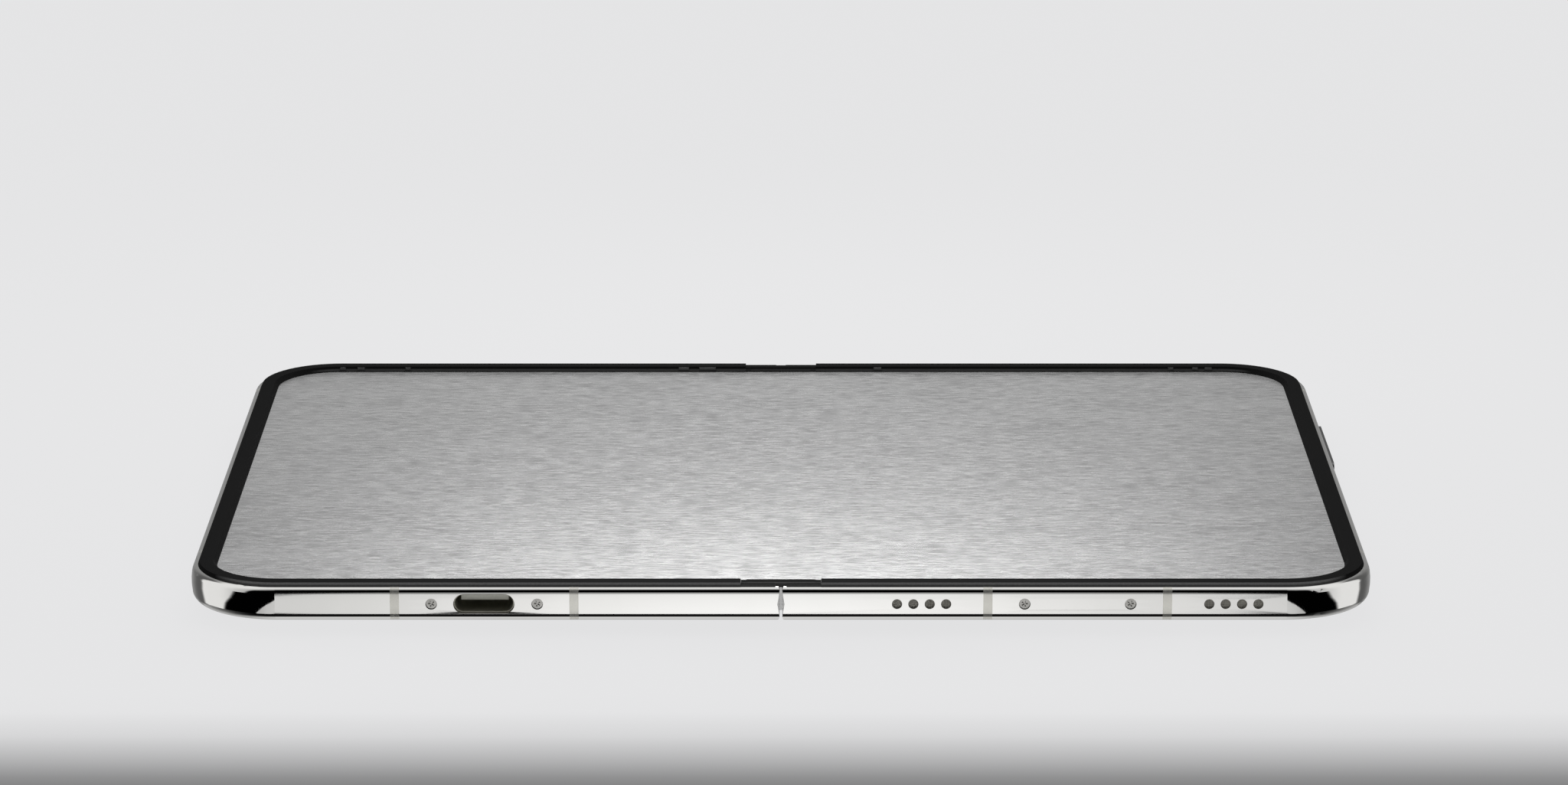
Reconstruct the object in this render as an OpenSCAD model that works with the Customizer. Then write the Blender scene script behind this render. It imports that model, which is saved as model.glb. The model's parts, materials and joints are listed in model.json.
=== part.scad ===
// Foldable smartphone that opens like a book, shown open and flat, inner screen up.
// X runs across both halves, Y runs along the hinge, Z is up; lengths are in millimetres.
// The origin is under the middle of the hinge, level with the lowest point of the camera rings.
// Heights in the modules are counted from the plane of the back panels.

/* [Overall] */
// Width of one half, from the hinge's middle plane to the outer side
half_w = 83; // [76:0.5:90]
// Length along the hinge, from the near edge to the far edge
depth = 120; // [112:0.5:132]
// Height of the metal frame
frame_h = 4.9; // [4.8:0.05:5.4]
// Radius of the frame's corners, seen from above
corner_r = 12.8; // [10:0.2:16]

/* [Frame] */
// Thickness of the frame's wall
frame_wall = 2.2; // [2:0.1:2.6]
// Rounding of the frame's upper outer edge
frame_top_r = 1; // [0.6:0.1:1.2]
// Rounding of the frame's lower outer edge
frame_low_r = 1.4; // [0.8:0.1:1.5]
// Angle from upright that the frame's bulging side reaches at its edges
frame_bulge = 9; // [6:3:12]
// Width of the ledge that carries the middle plate
ledge_w = 1.2; // [0.8:0.1:1.6]
// Thickness of the ledge
ledge_t = 0.5; // [0.4:0.05:0.7]
// Gap between the two frames at the hinge
hinge_gap = 0.4; // [0.3:0.05:0.6]
// Rounding of the frame's lower ends beside the hinge gap
frame_end_r = 0.6; // [0.4:0.05:0.9]
// Rounding of the frame's upright edges beside the hinge gap
frame_edge_r = 0.3; // [0.2:0.05:0.6]
// Width of a plastic antenna band
band_w = 1.27; // [0.8:0.01:1.6]
// Depth of an antenna band in the frame's wall
band_depth = 1.2; // [0.8:0.1:1.4]
// Distance from the charging port's middle to the band on its hinge side
band_inner = 12.5; // [12.4:0.05:13]
// Distance from the charging port's middle to the band on its outer side
band_outer = 12.4; // [12.3:0.05:14]
// Distance from the near edge to the near bands on the sides
band_near = 18; // [16:0.1:20]
// Distance from the far edge to the far bands on the sides
band_far = 15; // [14:0.1:17]

/* [Bezel] */
// Distance from the frame's outer face to the bezel's foot
bezel_inset = 0.95; // [0.9:0.05:1.2]
// Height of the bezel above the frame
bezel_rise = 0.52; // [0.4:0.02:0.7]
// Width of the bezel's outer slope
bezel_slope = 0.25; // [0.1:0.05:0.4]
// Width of the bezel's flat top
bezel_flat = 1.9; // [1.5:0.05:2.3]
// Width of the bezel's inner slope
bezel_step = 0.55; // [0.3:0.05:0.8]
// Distance from the hinge to where the bezel's full section ends
bezel_end = 5.6; // [5.2:0.1:6.4]
// Height of the low flange that carries the bezel's slope on towards the hinge
flange_rise = 0.25; // [0.15:0.05:0.3]
// Width of that low flange
flange_w = 0.5; // [0.3:0.05:0.6]
// Distance from the hinge to the flange's end
flange_end = 0.75; // [0.7:0.05:1]
// Length of the soft cap over the hinge's end
cap_len = 9.5; // [8:0.1:9.8]
// How far the soft cap stays below the bezel's top
cap_drop = 0.12; // [0.05:0.01:0.3]
// Clearance under the soft cap, above the frame
cap_clear = 0.06; // [0.04:0.01:0.1]
// Gap between the soft cap and the low flange
cap_gap = 0.15; // [0.1:0.05:0.2]
// Clearance between the soft cap and the frame's wall
cap_wall_gap = 0.3; // [0.2:0.05:0.4]
// How far the soft cap's ends, beside the bezels, lie below its middle
cap_step = 0.15; // [0.05:0.05:0.25]
// Gap between the soft cap's ends and the bezels
cap_end_gap = 0.1; // [0.05:0.05:0.3]

/* [Screen] */
// Thickness of the flexible screen sheet
sheet_t = 0.5; // [0.4:0.05:0.6]
// Distance from the frame's top down to the sheet's face
sheet_drop = 0.25; // [0.1:0.05:0.4]
// Clearance between the sheet's edge and the frame's wall
sheet_clear = 0.2; // [0.1:0.05:0.3]
// Thickness of the stiff plate under the sheet
plate_t = 0.35; // [0.25:0.05:0.4]
// Thickness of the middle plate
mid_t = 0.5; // [0.4:0.05:0.6]
// Thickness of the tilting wing plate under the fold
wing_t = 0.2; // [0.15:0.05:0.3]
// Radius of the bead that a wing plate turns on
wing_bead_r = 0.3; // [0.25:0.05:0.35]
// Distance from the hinge to the wing bead's axis
wing_x = 8.3; // [7.8:0.1:8.8]
// Distance from the hinge to a wing plate's free edge
wing_edge = 0.5; // [0.4:0.1:1]
// Gap along the hinge between a wing plate and the mechanisms
wing_gap = 8; // [6:0.5:20]
// Angle that a wing plate tilts by as the phone closes
wing_tilt = 19; // [10:1:20]
// Angle left between a tilted wing plate and the rail below it
tilt_clear = 3; // [2:1:5]
// Running clearance of the wing plate's bead in its groove
bead_clear = 0.05; // [0.04:0.01:0.08]

/* [Back panels] */
// Thickness of the back panels
back_t = 0.6; // [0.5:0.05:0.7]
// Distance from the frame's outer face to a back panel's edge
back_inset = 1.5; // [1.4:0.1:1.8]
// Width of the metal strip beside the hinge on the back
strip_w = 3; // [2:0.1:3.6]
// Thickness of the outer display behind the cover glass
panel_t = 0.5; // [0.4:0.05:0.6]
// Distance from the hinge's rail to the outer display
panel_gap = 0.5; // [0.2:0.1:1]
// Height of the camera deck
deck_h = 1.1; // [0.8:0.05:1.6]
// Length of the camera deck
deck_len = 40; // [38:0.5:42]
// Width of the camera deck
deck_w = 18; // [16:0.5:19]
// Distance from the outer side to the camera deck's middle
deck_side = 26; // [25:0.5:27]
// Distance from the far edge to the camera deck's middle
deck_far = 14; // [13.5:0.5:16]
// Rounding of the camera deck's edge
deck_edge_r = 0.5; // [0.3:0.05:0.7]
// Height of a camera ring above the deck
ring_h = 0.7; // [0.4:0.05:1]
// Width of a camera ring
ring_w = 1.5; // [1:0.1:2]
// Chamfer of a camera ring
ring_edge = 0.3; // [0.1:0.05:0.35]
// Radius of a camera's barrel
cam_r = 5.5; // [5:0.1:6]
// Radius of the recess behind a camera's glass
cam_nose_r = 3; // [2.5:0.1:4]
// Depth of that recess
cam_nose_t = 0.6; // [0.4:0.1:1]
// Distance between the two cameras
cam_pitch = 20; // [18:0.5:21]
// Thickness of a camera's cover glass
cam_glass_t = 0.4; // [0.3:0.05:0.5]
// Radius of the flash window
flash_r = 1.6; // [1.2:0.1:2]
// How far the flash runs in behind the back panel
flash_stub = 0.4; // [0.2:0.1:0.8]
// Radius of the selfie camera's barrel
selfie_r = 2.2; // [1.8:0.1:2.6]
// Side of the selfie camera's square body
selfie_body = 6.4; // [5:0.2:7]
// Distance from the far edge to the selfie camera
selfie_far = 9; // [8:0.25:10]

/* [Ports and screws] */
// Height of the ports above the back panels
port_z = 2.65; // [2.5:0.05:2.8]
// Width of the charging port
usb_w = 8.5; // [8.4:0.05:9]
// Height of the charging port
usb_h = 2.8; // [2.7:0.05:3]
// Depth of the charging port
usb_depth = 6.6; // [6:0.1:7.5]
// Distance from the frame's face in to the charging port's shell
usb_set = 0.6; // [0.3:0.1:1]
// Clearance between that shell and the frame
usb_clear = 0.03; // [0.02:0.01:0.05]
// Thickness of the shell's closed end
usb_back = 0.4; // [0.3:0.05:0.6]
// Clearance between the shell and the plates above it
port_clear = 0.3; // [0.2:0.05:0.4]
// Distance from the half's middle to the charging port, towards the hinge
port_shift = 0.3; // [0:0.1:1]
// Wall of the charging port's metal shell
usb_wall = 0.2; // [0.15:0.05:0.3]
// Width of the charging port's tongue
tongue_w = 6.6; // [6:0.1:6.8]
// Thickness of the charging port's tongue
tongue_t = 0.7; // [0.5:0.05:0.8]
// Length of the charging port's tongue
tongue_len = 3.6; // [3.2:0.1:4.6]
// Radius of a screw head in the near edge
screw_r = 0.75; // [0.6:0.05:0.85]
// Clearance round the screw head
screw_clear = 0.05; // [0.03:0.01:0.08]
// Thickness of the screw head
screw_head_t = 0.8; // [0.6:0.1:1]
// Depth of the screw head below the frame's face
screw_set = 0.3; // [0.2:0.05:0.6]
// Width of a slot in the screw head's star
star_w = 0.2; // [0.15:0.05:0.3]
// Depth of the screw head's star
star_depth = 0.3; // [0.2:0.05:0.5]
// Length of such a screw
screw_len = 4.6; // [4:0.1:5]
// Radius of such a screw's shank
shank_r = 0.45; // [0.35:0.05:0.5]
// Half the width of the boss that such a screw bites into
boss_half = 1.6; // [1:0.1:2]
// Distance from a screw's axis down to the boss's underside
boss_drop = 1.1; // [0.8:0.1:1.3]
// Distance from the charging port's middle to the screw on its hinge side
screw_inner = 7.4; // [7:0.1:8.2]
// Distance from the charging port's middle to the screw on its outer side
screw_outer = 7.3; // [7:0.1:8.8]
// Radius of a sound hole
hole_r = 0.71; // [0.5:0.01:0.85]
// Distance between sound holes
hole_pitch = 2.27; // [1.9:0.01:2.4]
// Number of sound holes in a group
hole_count = 4; // [2:1:5]
// Distance from the hinge to the middle of the microphone's holes
mic_x = 19.5; // [18:0.1:21]
// Distance from the outer side to the middle of the speaker's holes
speaker_side = 20.2; // [19:0.1:22]

/* [Keys] */
// Length of the power key
power_len = 21.8; // [16:0.2:24]
// Distance from the middle to the power key's middle
power_y = 18.1; // [17:0.1:20]
// Length of the volume key
volume_len = 22; // [16:0.5:22.5]
// Height of the keys
key_h = 1.8; // [1.4:0.1:2.1]
// How far the keys stand out
key_proud = 0.45; // [0.35:0.05:0.6]
// Travel of the keys
key_travel = 0.25; // [0.15:0.05:0.3]
// Clearance round a key in its slot
key_clear = 0.08; // [0.05:0.01:0.12]
// Thickness of the flange that holds a key in
key_flange_t = 0.6; // [0.4:0.05:0.7]
// Reach of that flange past each end of the key
key_flange_w = 1; // [0.5:0.1:1.2]
// Clearance between that flange and the frame's wall
flange_clear = 0.1; // [0.05:0.05:0.15]
// Gap between a key's flange and the switch when the key is pressed
switch_gap = 0.05; // [0.03:0.01:0.1]
// Thickness of a key's click switch
switch_t = 1.4; // [1:0.1:1.6]
// Length of a key's click switch
switch_len = 4; // [3:0.2:5]
// Height of a key's click switch
switch_h = 1.8; // [1.4:0.1:2]
// Length of the switch's plunger
plunger_len = 1.4; // [1:0.1:2]
// Height of the switch's plunger
plunger_h = 1; // [0.8:0.1:1.3]
// How far the plunger stands out of the switch
plunger_t = 0.4; // [0.2:0.05:0.6]

/* [Hinge] */
// Distance from the middle plane to each folding axis
axis_x = 1.4; // [1.3:0.05:1.5]
// Gap between the two bezels when the phone is shut
shut_gap = 0.2; // [0.1:0.05:0.3]
// Outer radius of the spine's shell round each folding axis
spine_r = 3.15; // [3.1:0.05:3.2]
// Thickness of the spine's shell
spine_wall = 0.4; // [0.35:0.05:0.45]
// Clearance between the spine's shell and the base blocks in it
block_clear = 0.03; // [0.02:0.01:0.05]
// Clearance between the spine and the halves
spine_clear = 0.2; // [0.15:0.05:0.25]
// Clearance between the spine's ends and the frames
spine_end_clear = 0.4; // [0.3:0.1:0.6]
// Height of the spine shell's rim
spine_rim = 2.8; // [2.4:0.1:2.9]
// Thickness of the spine's end caps
end_cap_t = 1.2; // [0.8:0.1:1.6]
// Inner radius of the curved tongues about the folding axes
arc_in_r = 1.75; // [1.7:0.05:1.8]
// Thickness of the curved tongues
arc_t = 0.5; // [0.4:0.05:0.55]
// Clearance of the curved tongues in their grooves
arc_clear = 0.05; // [0.04:0.01:0.08]
// Angle from level to the tip of a curved tongue
arc_end = 160; // [150:1:162]
// Gap between the base block and the bridge of a curved tongue
bridge_gap = 0.15; // [0.1:0.05:0.2]
// Gap between that bridge and the screen sheet
bridge_drop = 0.25; // [0.2:0.05:0.4]
// Width of the wall that carries the bridge
bridge_wall = 2; // [1.5:0.1:2.5]
// Width of a groove for a curved tongue
groove_w = 4; // [3:0.25:4.25]
// Thickness of the base block's cross walls
web_t = 1; // [0.8:0.1:1.2]
// Clearance at the sides of tongues, gears and arms
side_clear = 0.1; // [0.08:0.01:0.15]
// Gap between the spine's end cap and a hinge mechanism
mech_gap = 2.2; // [1:0.1:4]
// Height of the base block between its cross walls
block_top = 3.2; // [3:0.05:3.25]
// Height of the cross walls that hold the gear pins
web_top = 3.6; // [3.4:0.05:3.7]
// Thickness of the base block's floor
floor_t = 0.35; // [0.25:0.05:0.4]
// Reach of the rail beside the hinge, from the middle plane
rail_x = 11; // [10.8:0.1:11.5]
// Width of the rail outside the brackets
rail_edge = 0.5; // [0.4:0.05:0.6]
// Thickness of the rail left under a bracket screw
rail_floor = 0.3; // [0.2:0.05:0.4]
// Height of the rail's seat for the brackets
seat_z = 1.6; // [1.5:0.05:1.7]
// Thickness of a bracket's foot
foot_t = 0.6; // [0.5:0.05:0.7]
// Thickness of a bracket's foot under the end of its arm
low_foot_t = 0.2; // [0.15:0.05:0.25]
// Radius of a bracket screw's head
bracket_screw_r = 0.75; // [0.6:0.05:0.8]
// Thickness of a bracket screw's head
bracket_head_t = 0.5; // [0.3:0.05:0.6]
// Distance from the follower pin's outer side to the bracket screws
bracket_screw_gap = 1.4; // [1.3:0.05:1.5]
// Clearance round a bracket screw's shank
shank_clear = 0.03; // [0.02:0.01:0.05]

/* [Gears] */
// Pitch radius of the gears
gear_pitch = 0.8; // [0.79:0.005:0.81]
// Number of teeth on each gear, which is even
teeth = 10; // [8:2:12]
// Height of a tooth above the pitch circle, in gear modules
addendum = 0.85; // [0.7:0.05:0.9]
// Depth of a tooth below the pitch circle, in gear modules
dedendum = 1.2; // [1.1:0.05:1.3]
// Pressure angle of the teeth
pressure = 25; // [24:1:27]
// Play between meshing teeth along the pitch circle
backlash = 0.03; // [0.025:0.005:0.04]
// Height of the gears' axes
gear_z = 2.8; // [2.75:0.05:2.85]
// Width of the gears and arms
gear_w = 2; // [1.6:0.1:2.2]
// Room beside the gears and arms for the slotted cheeks
cheek_room = 0.5; // [0.4:0.05:0.6]
// Radius of the gear pins
pin_r = 0.3; // [0.25:0.01:0.32]
// Running clearance on the pins
pin_clear = 0.03; // [0.02:0.01:0.05]
// How far a gear pin stays short of its bore's ends
pin_short = 0.1; // [0.05:0.05:0.2]
// Length of an arm from its gear's axis to its follower pin
arm_len = 5.4; // [5.2:0.1:5.6]
// Height of an arm's bar
arm_t = 0.7; // [0.5:0.05:0.8]
// Wall round the follower pin at the arm's end
arm_end_wall = 0.15; // [0.1:0.05:0.2]
// Clearance between an arm and the notch in the spine's rim
gate_clear = 0.2; // [0.1:0.05:0.3]
// Radius of an arm's follower pin
follower_r = 0.4; // [0.3:0.05:0.45]
// How far a follower pin stands out at each side of its arm
follower_out = 0.8; // [0.6:0.05:0.85]
// Running clearance of the follower pin in its slot
slot_clear = 0.04; // [0.03:0.01:0.06]
// Thickness of a slotted cheek
cheek_t = 0.8; // [0.6:0.05:0.9]
// Metal between the slot and a cheek's outer end
cheek_land = 0.6; // [0.5:0.05:0.7]
// Metal between the slot and a cheek's inner end
slot_land = 0.36; // [0.3:0.02:0.4]
// Radius of a friction washer
washer_r = 0.8; // [0.7:0.05:0.85]
// Thickness of a friction washer
washer_t = 0.35; // [0.25:0.05:0.45]
// Radius of a washer's raised middle
washer_crown_r = 0.6; // [0.5:0.05:0.65]
// Height of a washer's raised middle
washer_dish = 0.1; // [0.05:0.05:0.15]
// Clearance of a washer on its pin
washer_clear = 0.02; // [0.01:0.01:0.04]
// Gap between the base block and the first washer
washer_gap = 0.05; // [0.03:0.01:0.1]
// Number of friction washers on each arm pin
washer_count = 8; // [4:1:9]
// Radius of the clip that ends an arm pin
clip_r = 0.75; // [0.6:0.05:0.8]
// Thickness of that clip
clip_t = 0.7; // [0.5:0.05:0.9]

/* [Inside] */
// Clearance round the parts inside
fit = 0.1; // [0.05:0.05:0.2]
// Gap between neighbouring parts inside
part_gap = 1.5; // [1:0.1:2]
// Corner radius of the boxes inside
box_r = 1; // [0.5:0.1:1.5]
// Distance from the hinge to the batteries
cell_x = 12.5; // [12:0.1:14]
// Gap between a battery and the frame's ledge
cell_gap = 2.1; // [1.9:0.1:3]
// Room between the near edge and the right half's battery
speaker_room = 24; // [22:0.5:30]
// Room between the right half's battery and the camera deck
board_room = 21; // [20.5:0.5:27]
// Room between the near edge and the left half's battery
motor_room = 29; // [29:0.5:40]
// Room between the far edge and the left half's battery
earpiece_room = 14; // [13.5:0.5:30]
// Corner radius of the batteries
cell_r = 2; // [1:0.25:3]
// Thickness of the circuit boards
board_t = 0.6; // [0.4:0.05:0.7]
// Height of the circuit boards' lower face
board_z = 1.8; // [1.7:0.05:1.9]
// Number of shield cans on each side of the main board
shield_count = 3; // [2:1:5]
// Distance from the main board's edge to the shield cans
shield_edge = 1; // [0.6:0.1:1.5]
// Length of the loudspeaker's box
speaker_len = 18; // [16:0.5:18.5]
// Width of the loudspeaker's mouth
speaker_mouth = 12; // [10:0.5:14]
// Thickness of the meshes behind the sound holes
mesh_t = 0.3; // [0.2:0.05:0.4]
// Distance from the sound holes' height down to the meshes' lower edge
mesh_half = 1.2; // [1:0.1:1.4]
// Distance a mesh runs past the outermost sound hole
mesh_edge = 0.5; // [0.2:0.1:1]
// Length of the earpiece's box
earpiece_len = 14; // [12:0.5:16]
// Width of the earpiece's mouth
earpiece_mouth = 9; // [7:0.5:10]
// Length of the vibration motor
motor_len = 16; // [12:0.5:18]
// Width of the vibration motor
motor_w = 9; // [7:0.5:10]
// Gap between the vibration motor and the frame's ledge
motor_gap = 4; // [3:0.5:5]
// Length of the closing magnets
magnet_len = 14; // [8:0.5:16]
// Thickness of the closing magnets
magnet_t = 1.1; // [0.8:0.1:1.2]
// Distance from the near edge to the closing magnets
magnet_in = 40; // [38:0.5:44]
// Gap between a closing magnet and the frame's ledge
magnet_gap = 0.3; // [0.2:0.1:0.5]
// Width of the flexible circuit that crosses the hinge
flex_w = 12; // [8:0.5:16]
// Thickness of that flexible circuit
flex_t = 0.15; // [0.1:0.05:0.2]
// Distance from the hinge to each end of that flexible circuit
flex_end = 5.4; // [5:0.1:5.6]
// Half the width of its sagging middle
flex_span = 3; // [2.8:0.1:3.2]
// How far its middle sags
flex_sag = 0.9; // [0.6:0.1:1]
// Gap between its flat ends and the middle plate's height
flex_drop = 0.2; // [0.15:0.05:0.3]

/* [Hidden] */
$fn = 64;
big = 300;
over = 1;
half_d = depth / 2;
usb_x = half_w / 2 - port_shift;
volume_x = usb_x;
screw_inner_x = usb_x - screw_inner;
screw_outer_x = usb_x + screw_outer;
band_inner_x = usb_x - band_inner;
band_outer_x = usb_x + band_outer;
band_near_y = half_d - band_near;
band_far_y = half_d - band_far;
speaker_x = half_w - speaker_side;
deck_x = half_w - deck_side;
deck_y = half_d - deck_far;
selfie_x = half_w / 2;
selfie_y = half_d - selfie_far;
right_cell_near = -half_d + speaker_room;
right_cell_far = deck_y - deck_w / 2 - board_room;
magnet_y = half_d - magnet_in;
left_cell_near = -half_d + motor_room;
left_cell_far = half_d - earpiece_room;
bulge_flat = frame_h - frame_top_r - frame_low_r;
bulge_r = (bulge_flat / sin(frame_bulge) + frame_top_r + frame_low_r) / 2;
bulge_z = frame_low_r + (bulge_r - frame_low_r) * sin(frame_bulge);
bulge_top_x = bulge_r - (bulge_r - frame_top_r) * cos(frame_bulge);
bulge_low_x = bulge_r - (bulge_r - frame_low_r) * cos(frame_bulge);
back_z = deck_h + ring_h;
gap_half = hinge_gap / 2;
bezel_top = frame_h + bezel_rise;
sheet_top = frame_h - sheet_drop;
sheet_low = sheet_top - sheet_t;
plate_low = sheet_low - plate_t;
mid_low = plate_low - mid_t;
sheet_inset = frame_wall + sheet_clear;
bezel_in = bezel_inset + bezel_slope + bezel_flat + bezel_step;
axis_z = bezel_top + shut_gap / 2 - axis_x;
pocket_r = spine_r + spine_clear;
shell_in_r = spine_r - spine_wall;
block_r = shell_in_r - block_clear;
spine_half = half_d - frame_wall - spine_end_clear;
mech_y = spine_half - end_cap_t - mech_gap;
arc_out_r = arc_in_r + arc_t;
ledge_in = frame_wall + ledge_w;
wing_z = plate_low;
wing_low = wing_z + wing_bead_r - wing_t;
fold_half = wing_x + 2 * wing_bead_r;
gear_module = 2 * gear_pitch / teeth;
gear_x = 3 * gear_pitch;
gear_base = gear_pitch * cos(pressure);
gear_tip = gear_pitch + addendum * gear_module;
gear_root = gear_pitch - dedendum * gear_module;
follow_x = gear_x + arm_len;
slot_cx = axis_x + arm_len;
slot_r = norm([gear_x - axis_x, gear_z - axis_z]);
slot_open = atan2(gear_z - axis_z, gear_x - axis_x);
slot_half = follower_r + slot_clear;
bay_w = gear_w + 2 * cheek_room;
bay_s = 3 * web_t + 2 * groove_w;
mech_len = bay_s + bay_w + web_t;
wing_len = 2 * (mech_y - mech_len - wing_gap);
foot_x1 = rail_x - rail_edge;
foot_x0 = slot_cx - slot_r * cos(slot_open + 90) - slot_half - slot_land;
foot_top = seat_z + foot_t;
cheek_x1 = follow_x + slot_half + cheek_land;
bracket_screw_x = follow_x + follower_r + bracket_screw_gap;
cell_top = mid_low - fit;
boss_len = frame_wall + screw_len;
left_floor = back_t + panel_t + fit;
deck_low = -deck_h;
key_wall_x = half_w - frame_wall;
key_back = key_wall_x - flange_clear - key_flange_t;
volume_wall_y = half_d - frame_wall;
volume_back = volume_wall_y - flange_clear - key_flange_t;

// Lifts a piece from the back panels' plane to the part's own frame
module lift() {
  translate([0, 0, back_z]) children();
}

// Copies a piece of the right half to the left half
module left_side() {
  mirror([1, 0, 0]) children();
}

// Repeats a piece at the near and the far end
module both_ends() {
  children();
  mirror([0, 1, 0]) children();
}

// Extrudes a section drawn in X and Z from y0 to y1
module along_y(y0, y1) {
  translate([0, y1, 0]) rotate([90, 0, 0]) linear_extrude(y1 - y0) children();
}

// Extrudes a section drawn in Y and Z from x0 to x1
module along_x(x0, x1) {
  translate([x0, 0, 0]) rotate([90, 0, 90]) linear_extrude(x1 - x0) children();
}

// Box between two corners
module block(low, high) {
  translate(low) cube(high - low);
}

// Rectangle with round corners, between two corners
module round_rect(low, high, r) {
  size = high - low;
  translate(low + [r, 0]) square([size.x - 2 * r, size.y]);
  translate(low + [0, r]) square([size.x, size.y - 2 * r]);
  for (x = [low.x + r, high.x - r], y = [low.y + r, high.y - r])
    translate([x, y]) circle(r);
}

// Outline of the right half seen from above, drawn in by inset and starting at x0
module half_plan(inset, x0, start_r = 0) {
  r = corner_r - inset;
  x1 = half_w - inset;
  y1 = half_d - inset;
  translate([x0 + start_r, -y1]) square([x1 - r - x0 - start_r, 2 * y1]);
  translate([x0, -y1 + start_r]) square([start_r + over, 2 * (y1 - start_r)]);
  translate([x0 + start_r, r - y1]) square([x1 - x0 - start_r, 2 * (y1 - r)]);
  for (s = [-1, 1]) {
    translate([x1 - r, s * (y1 - r)]) circle(r, $fn = 128);
    if (start_r > 0) translate([x0 + start_r, s * (y1 - start_r)]) circle(start_r);
  }
}

// Flat sheet with the half's outline between two heights
module half_sheet(inset, x0, low, high) {
  translate([0, 0, low]) linear_extrude(high - low) half_plan(inset, x0);
}

// Sweeps an edge section round the right half from x0; the section is drawn as
// distance in from the outer face, and height
module edge_sweep(x0) {
  run = half_w - corner_r;
  side = half_d - corner_r;
  both_ends() {
    translate([x0, -half_d, 0]) rotate([90, 0, 90]) linear_extrude(run - x0) children();
    translate([run, -side, 0]) rotate([0, 0, -90]) rotate_extrude(angle = 90, $fn = 128)
      translate([corner_r, 0]) mirror([1, 0]) children();
  }
  translate([half_w, side, 0]) mirror([1, 0, 0]) rotate([90, 0, 0]) linear_extrude(2 * side)
    children();
}

// Section of the frame's wall, as deep as t: a bulging side between two roundings
module wall_section(t) {
  reach = bulge_r * sin(frame_bulge);
  intersection() {
    square([t, frame_h]);
    union() {
      intersection() {
        translate([bulge_r, bulge_z]) circle(bulge_r, $fn = 120);
        translate([0, bulge_z - reach]) square([frame_wall, 2 * reach]);
      }
      translate([bulge_top_x, frame_h - frame_top_r]) circle(frame_top_r, $fn = 120);
      translate([bulge_low_x, frame_low_r]) circle(frame_low_r, $fn = 120);
      translate([bulge_top_x, bulge_z]) square([frame_wall, frame_h - bulge_z]);
      translate([bulge_low_x, 0]) square([frame_wall, bulge_z]);
    }
  }
}

// Side view of a frame's end beside the hinge: round below, and round the folding
// axis above, so that the two frames pass each other
module frame_end_section() {
  translate([gap_half, frame_end_r]) square([axis_x, axis_z - frame_end_r]);
  translate([gap_half + frame_end_r, 0]) square([axis_x, frame_end_r]);
  translate([gap_half + frame_end_r, frame_end_r]) circle(frame_end_r);
  translate([axis_x, axis_z]) circle(axis_x - shut_gap / 2);
  translate([axis_x, 0]) square([half_w, frame_h]);
}

// Thin slabs where the antenna bands cut the right frame
module band_slabs() {
  for (x = [band_inner_x, band_outer_x])
    block([x - band_w / 2, -half_d, 0], [x + band_w / 2, half_d, frame_h]);
  for (y = [-band_near_y, band_far_y])
    block([half_w - corner_r, y - band_w / 2, 0], [half_w, y + band_w / 2, frame_h]);
}

// Frame of the right half without its openings
module plain_frame() {
  difference() {
    intersection() {
      edge_sweep(0) wall_section(frame_wall);
      along_y(-half_d, half_d) frame_end_section();
      linear_extrude(frame_h) half_plan(0, gap_half, frame_edge_r);
    }
    half_sheet(back_inset - fit / 2, strip_w, -over, back_t);
    intersection() {
      edge_sweep(gap_half) translate([-over, -over]) square([band_depth + over, frame_h + 2 * over]);
      band_slabs();
    }
  }
  difference() {
    edge_sweep(rail_x) translate([frame_wall, mid_low - ledge_t]) square([ledge_w, ledge_t]);
    at_edge_screws() block([-boss_half - fit, 0, 0], [boss_half + fit, boss_len + over, frame_h]);
  }
}

// Places of the screws in the near edge
module at_edge_screws() {
  for (x = [screw_inner_x, screw_outer_x]) translate([x, -half_d, 0]) children();
}

module bands() {
  intersection() {
    edge_sweep(gap_half) wall_section(band_depth);
    band_slabs();
  }
}

// Row of holes along X through the near wall
module sound_holes(x) {
  for (i = [0 : hole_count - 1])
    translate([x + (i - (hole_count - 1) / 2) * hole_pitch, -half_d - over, port_z])
      rotate([-90, 0, 0]) cylinder(h = frame_wall + 2 * over, r = hole_r);
}

module edge_screw_holes() {
  at_edge_screws() translate([0, -over, port_z]) rotate([-90, 0, 0])
    cylinder(h = frame_wall + 2 * over, r = screw_r + screw_clear);
}

// Pill drawn in a plane, long along the first axis
module pill(len, wide) {
  square([len - wide, wide], center = true);
  for (s = [-1, 1]) translate([s * (len - wide) / 2, 0]) circle(wide / 2);
}

// Key that moves along +X, with its outer face at the given reach
module key(len, wall_x, reach) {
  front = wall_x - flange_clear;
  translate([front, 0, port_z]) rotate([90, 0, 90]) linear_extrude(reach - front) pill(len, key_h);
  translate([front - key_flange_t, 0, port_z]) rotate([90, 0, 90])
    linear_extrude(key_flange_t) pill(len + 2 * key_flange_w, key_h);
}

// Room behind the wall for such a key's flange and its switch
module key_room(len, wall_x) {
  deep = flange_clear + key_flange_t + key_travel + switch_gap + switch_t + fit;
  long = len / 2 + key_flange_w + 2 * fit;
  block([wall_x - deep, -long, 0], [wall_x, long, plate_low]);
}

// Slot for such a key in the frame's wall, with that room
module key_slot(len, wall_x) {
  translate([wall_x - over, 0, port_z]) rotate([90, 0, 90]) linear_extrude(big)
    pill(len + 2 * key_clear, key_h + 2 * key_clear);
  translate([0, 0, frame_low_r]) key_room(len, wall_x);
}

// Turns a piece made for the right side so that it faces the far edge at x
module to_far_edge(x) {
  translate([x, 0, 0]) rotate([0, 0, 90]) children();
}

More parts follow.
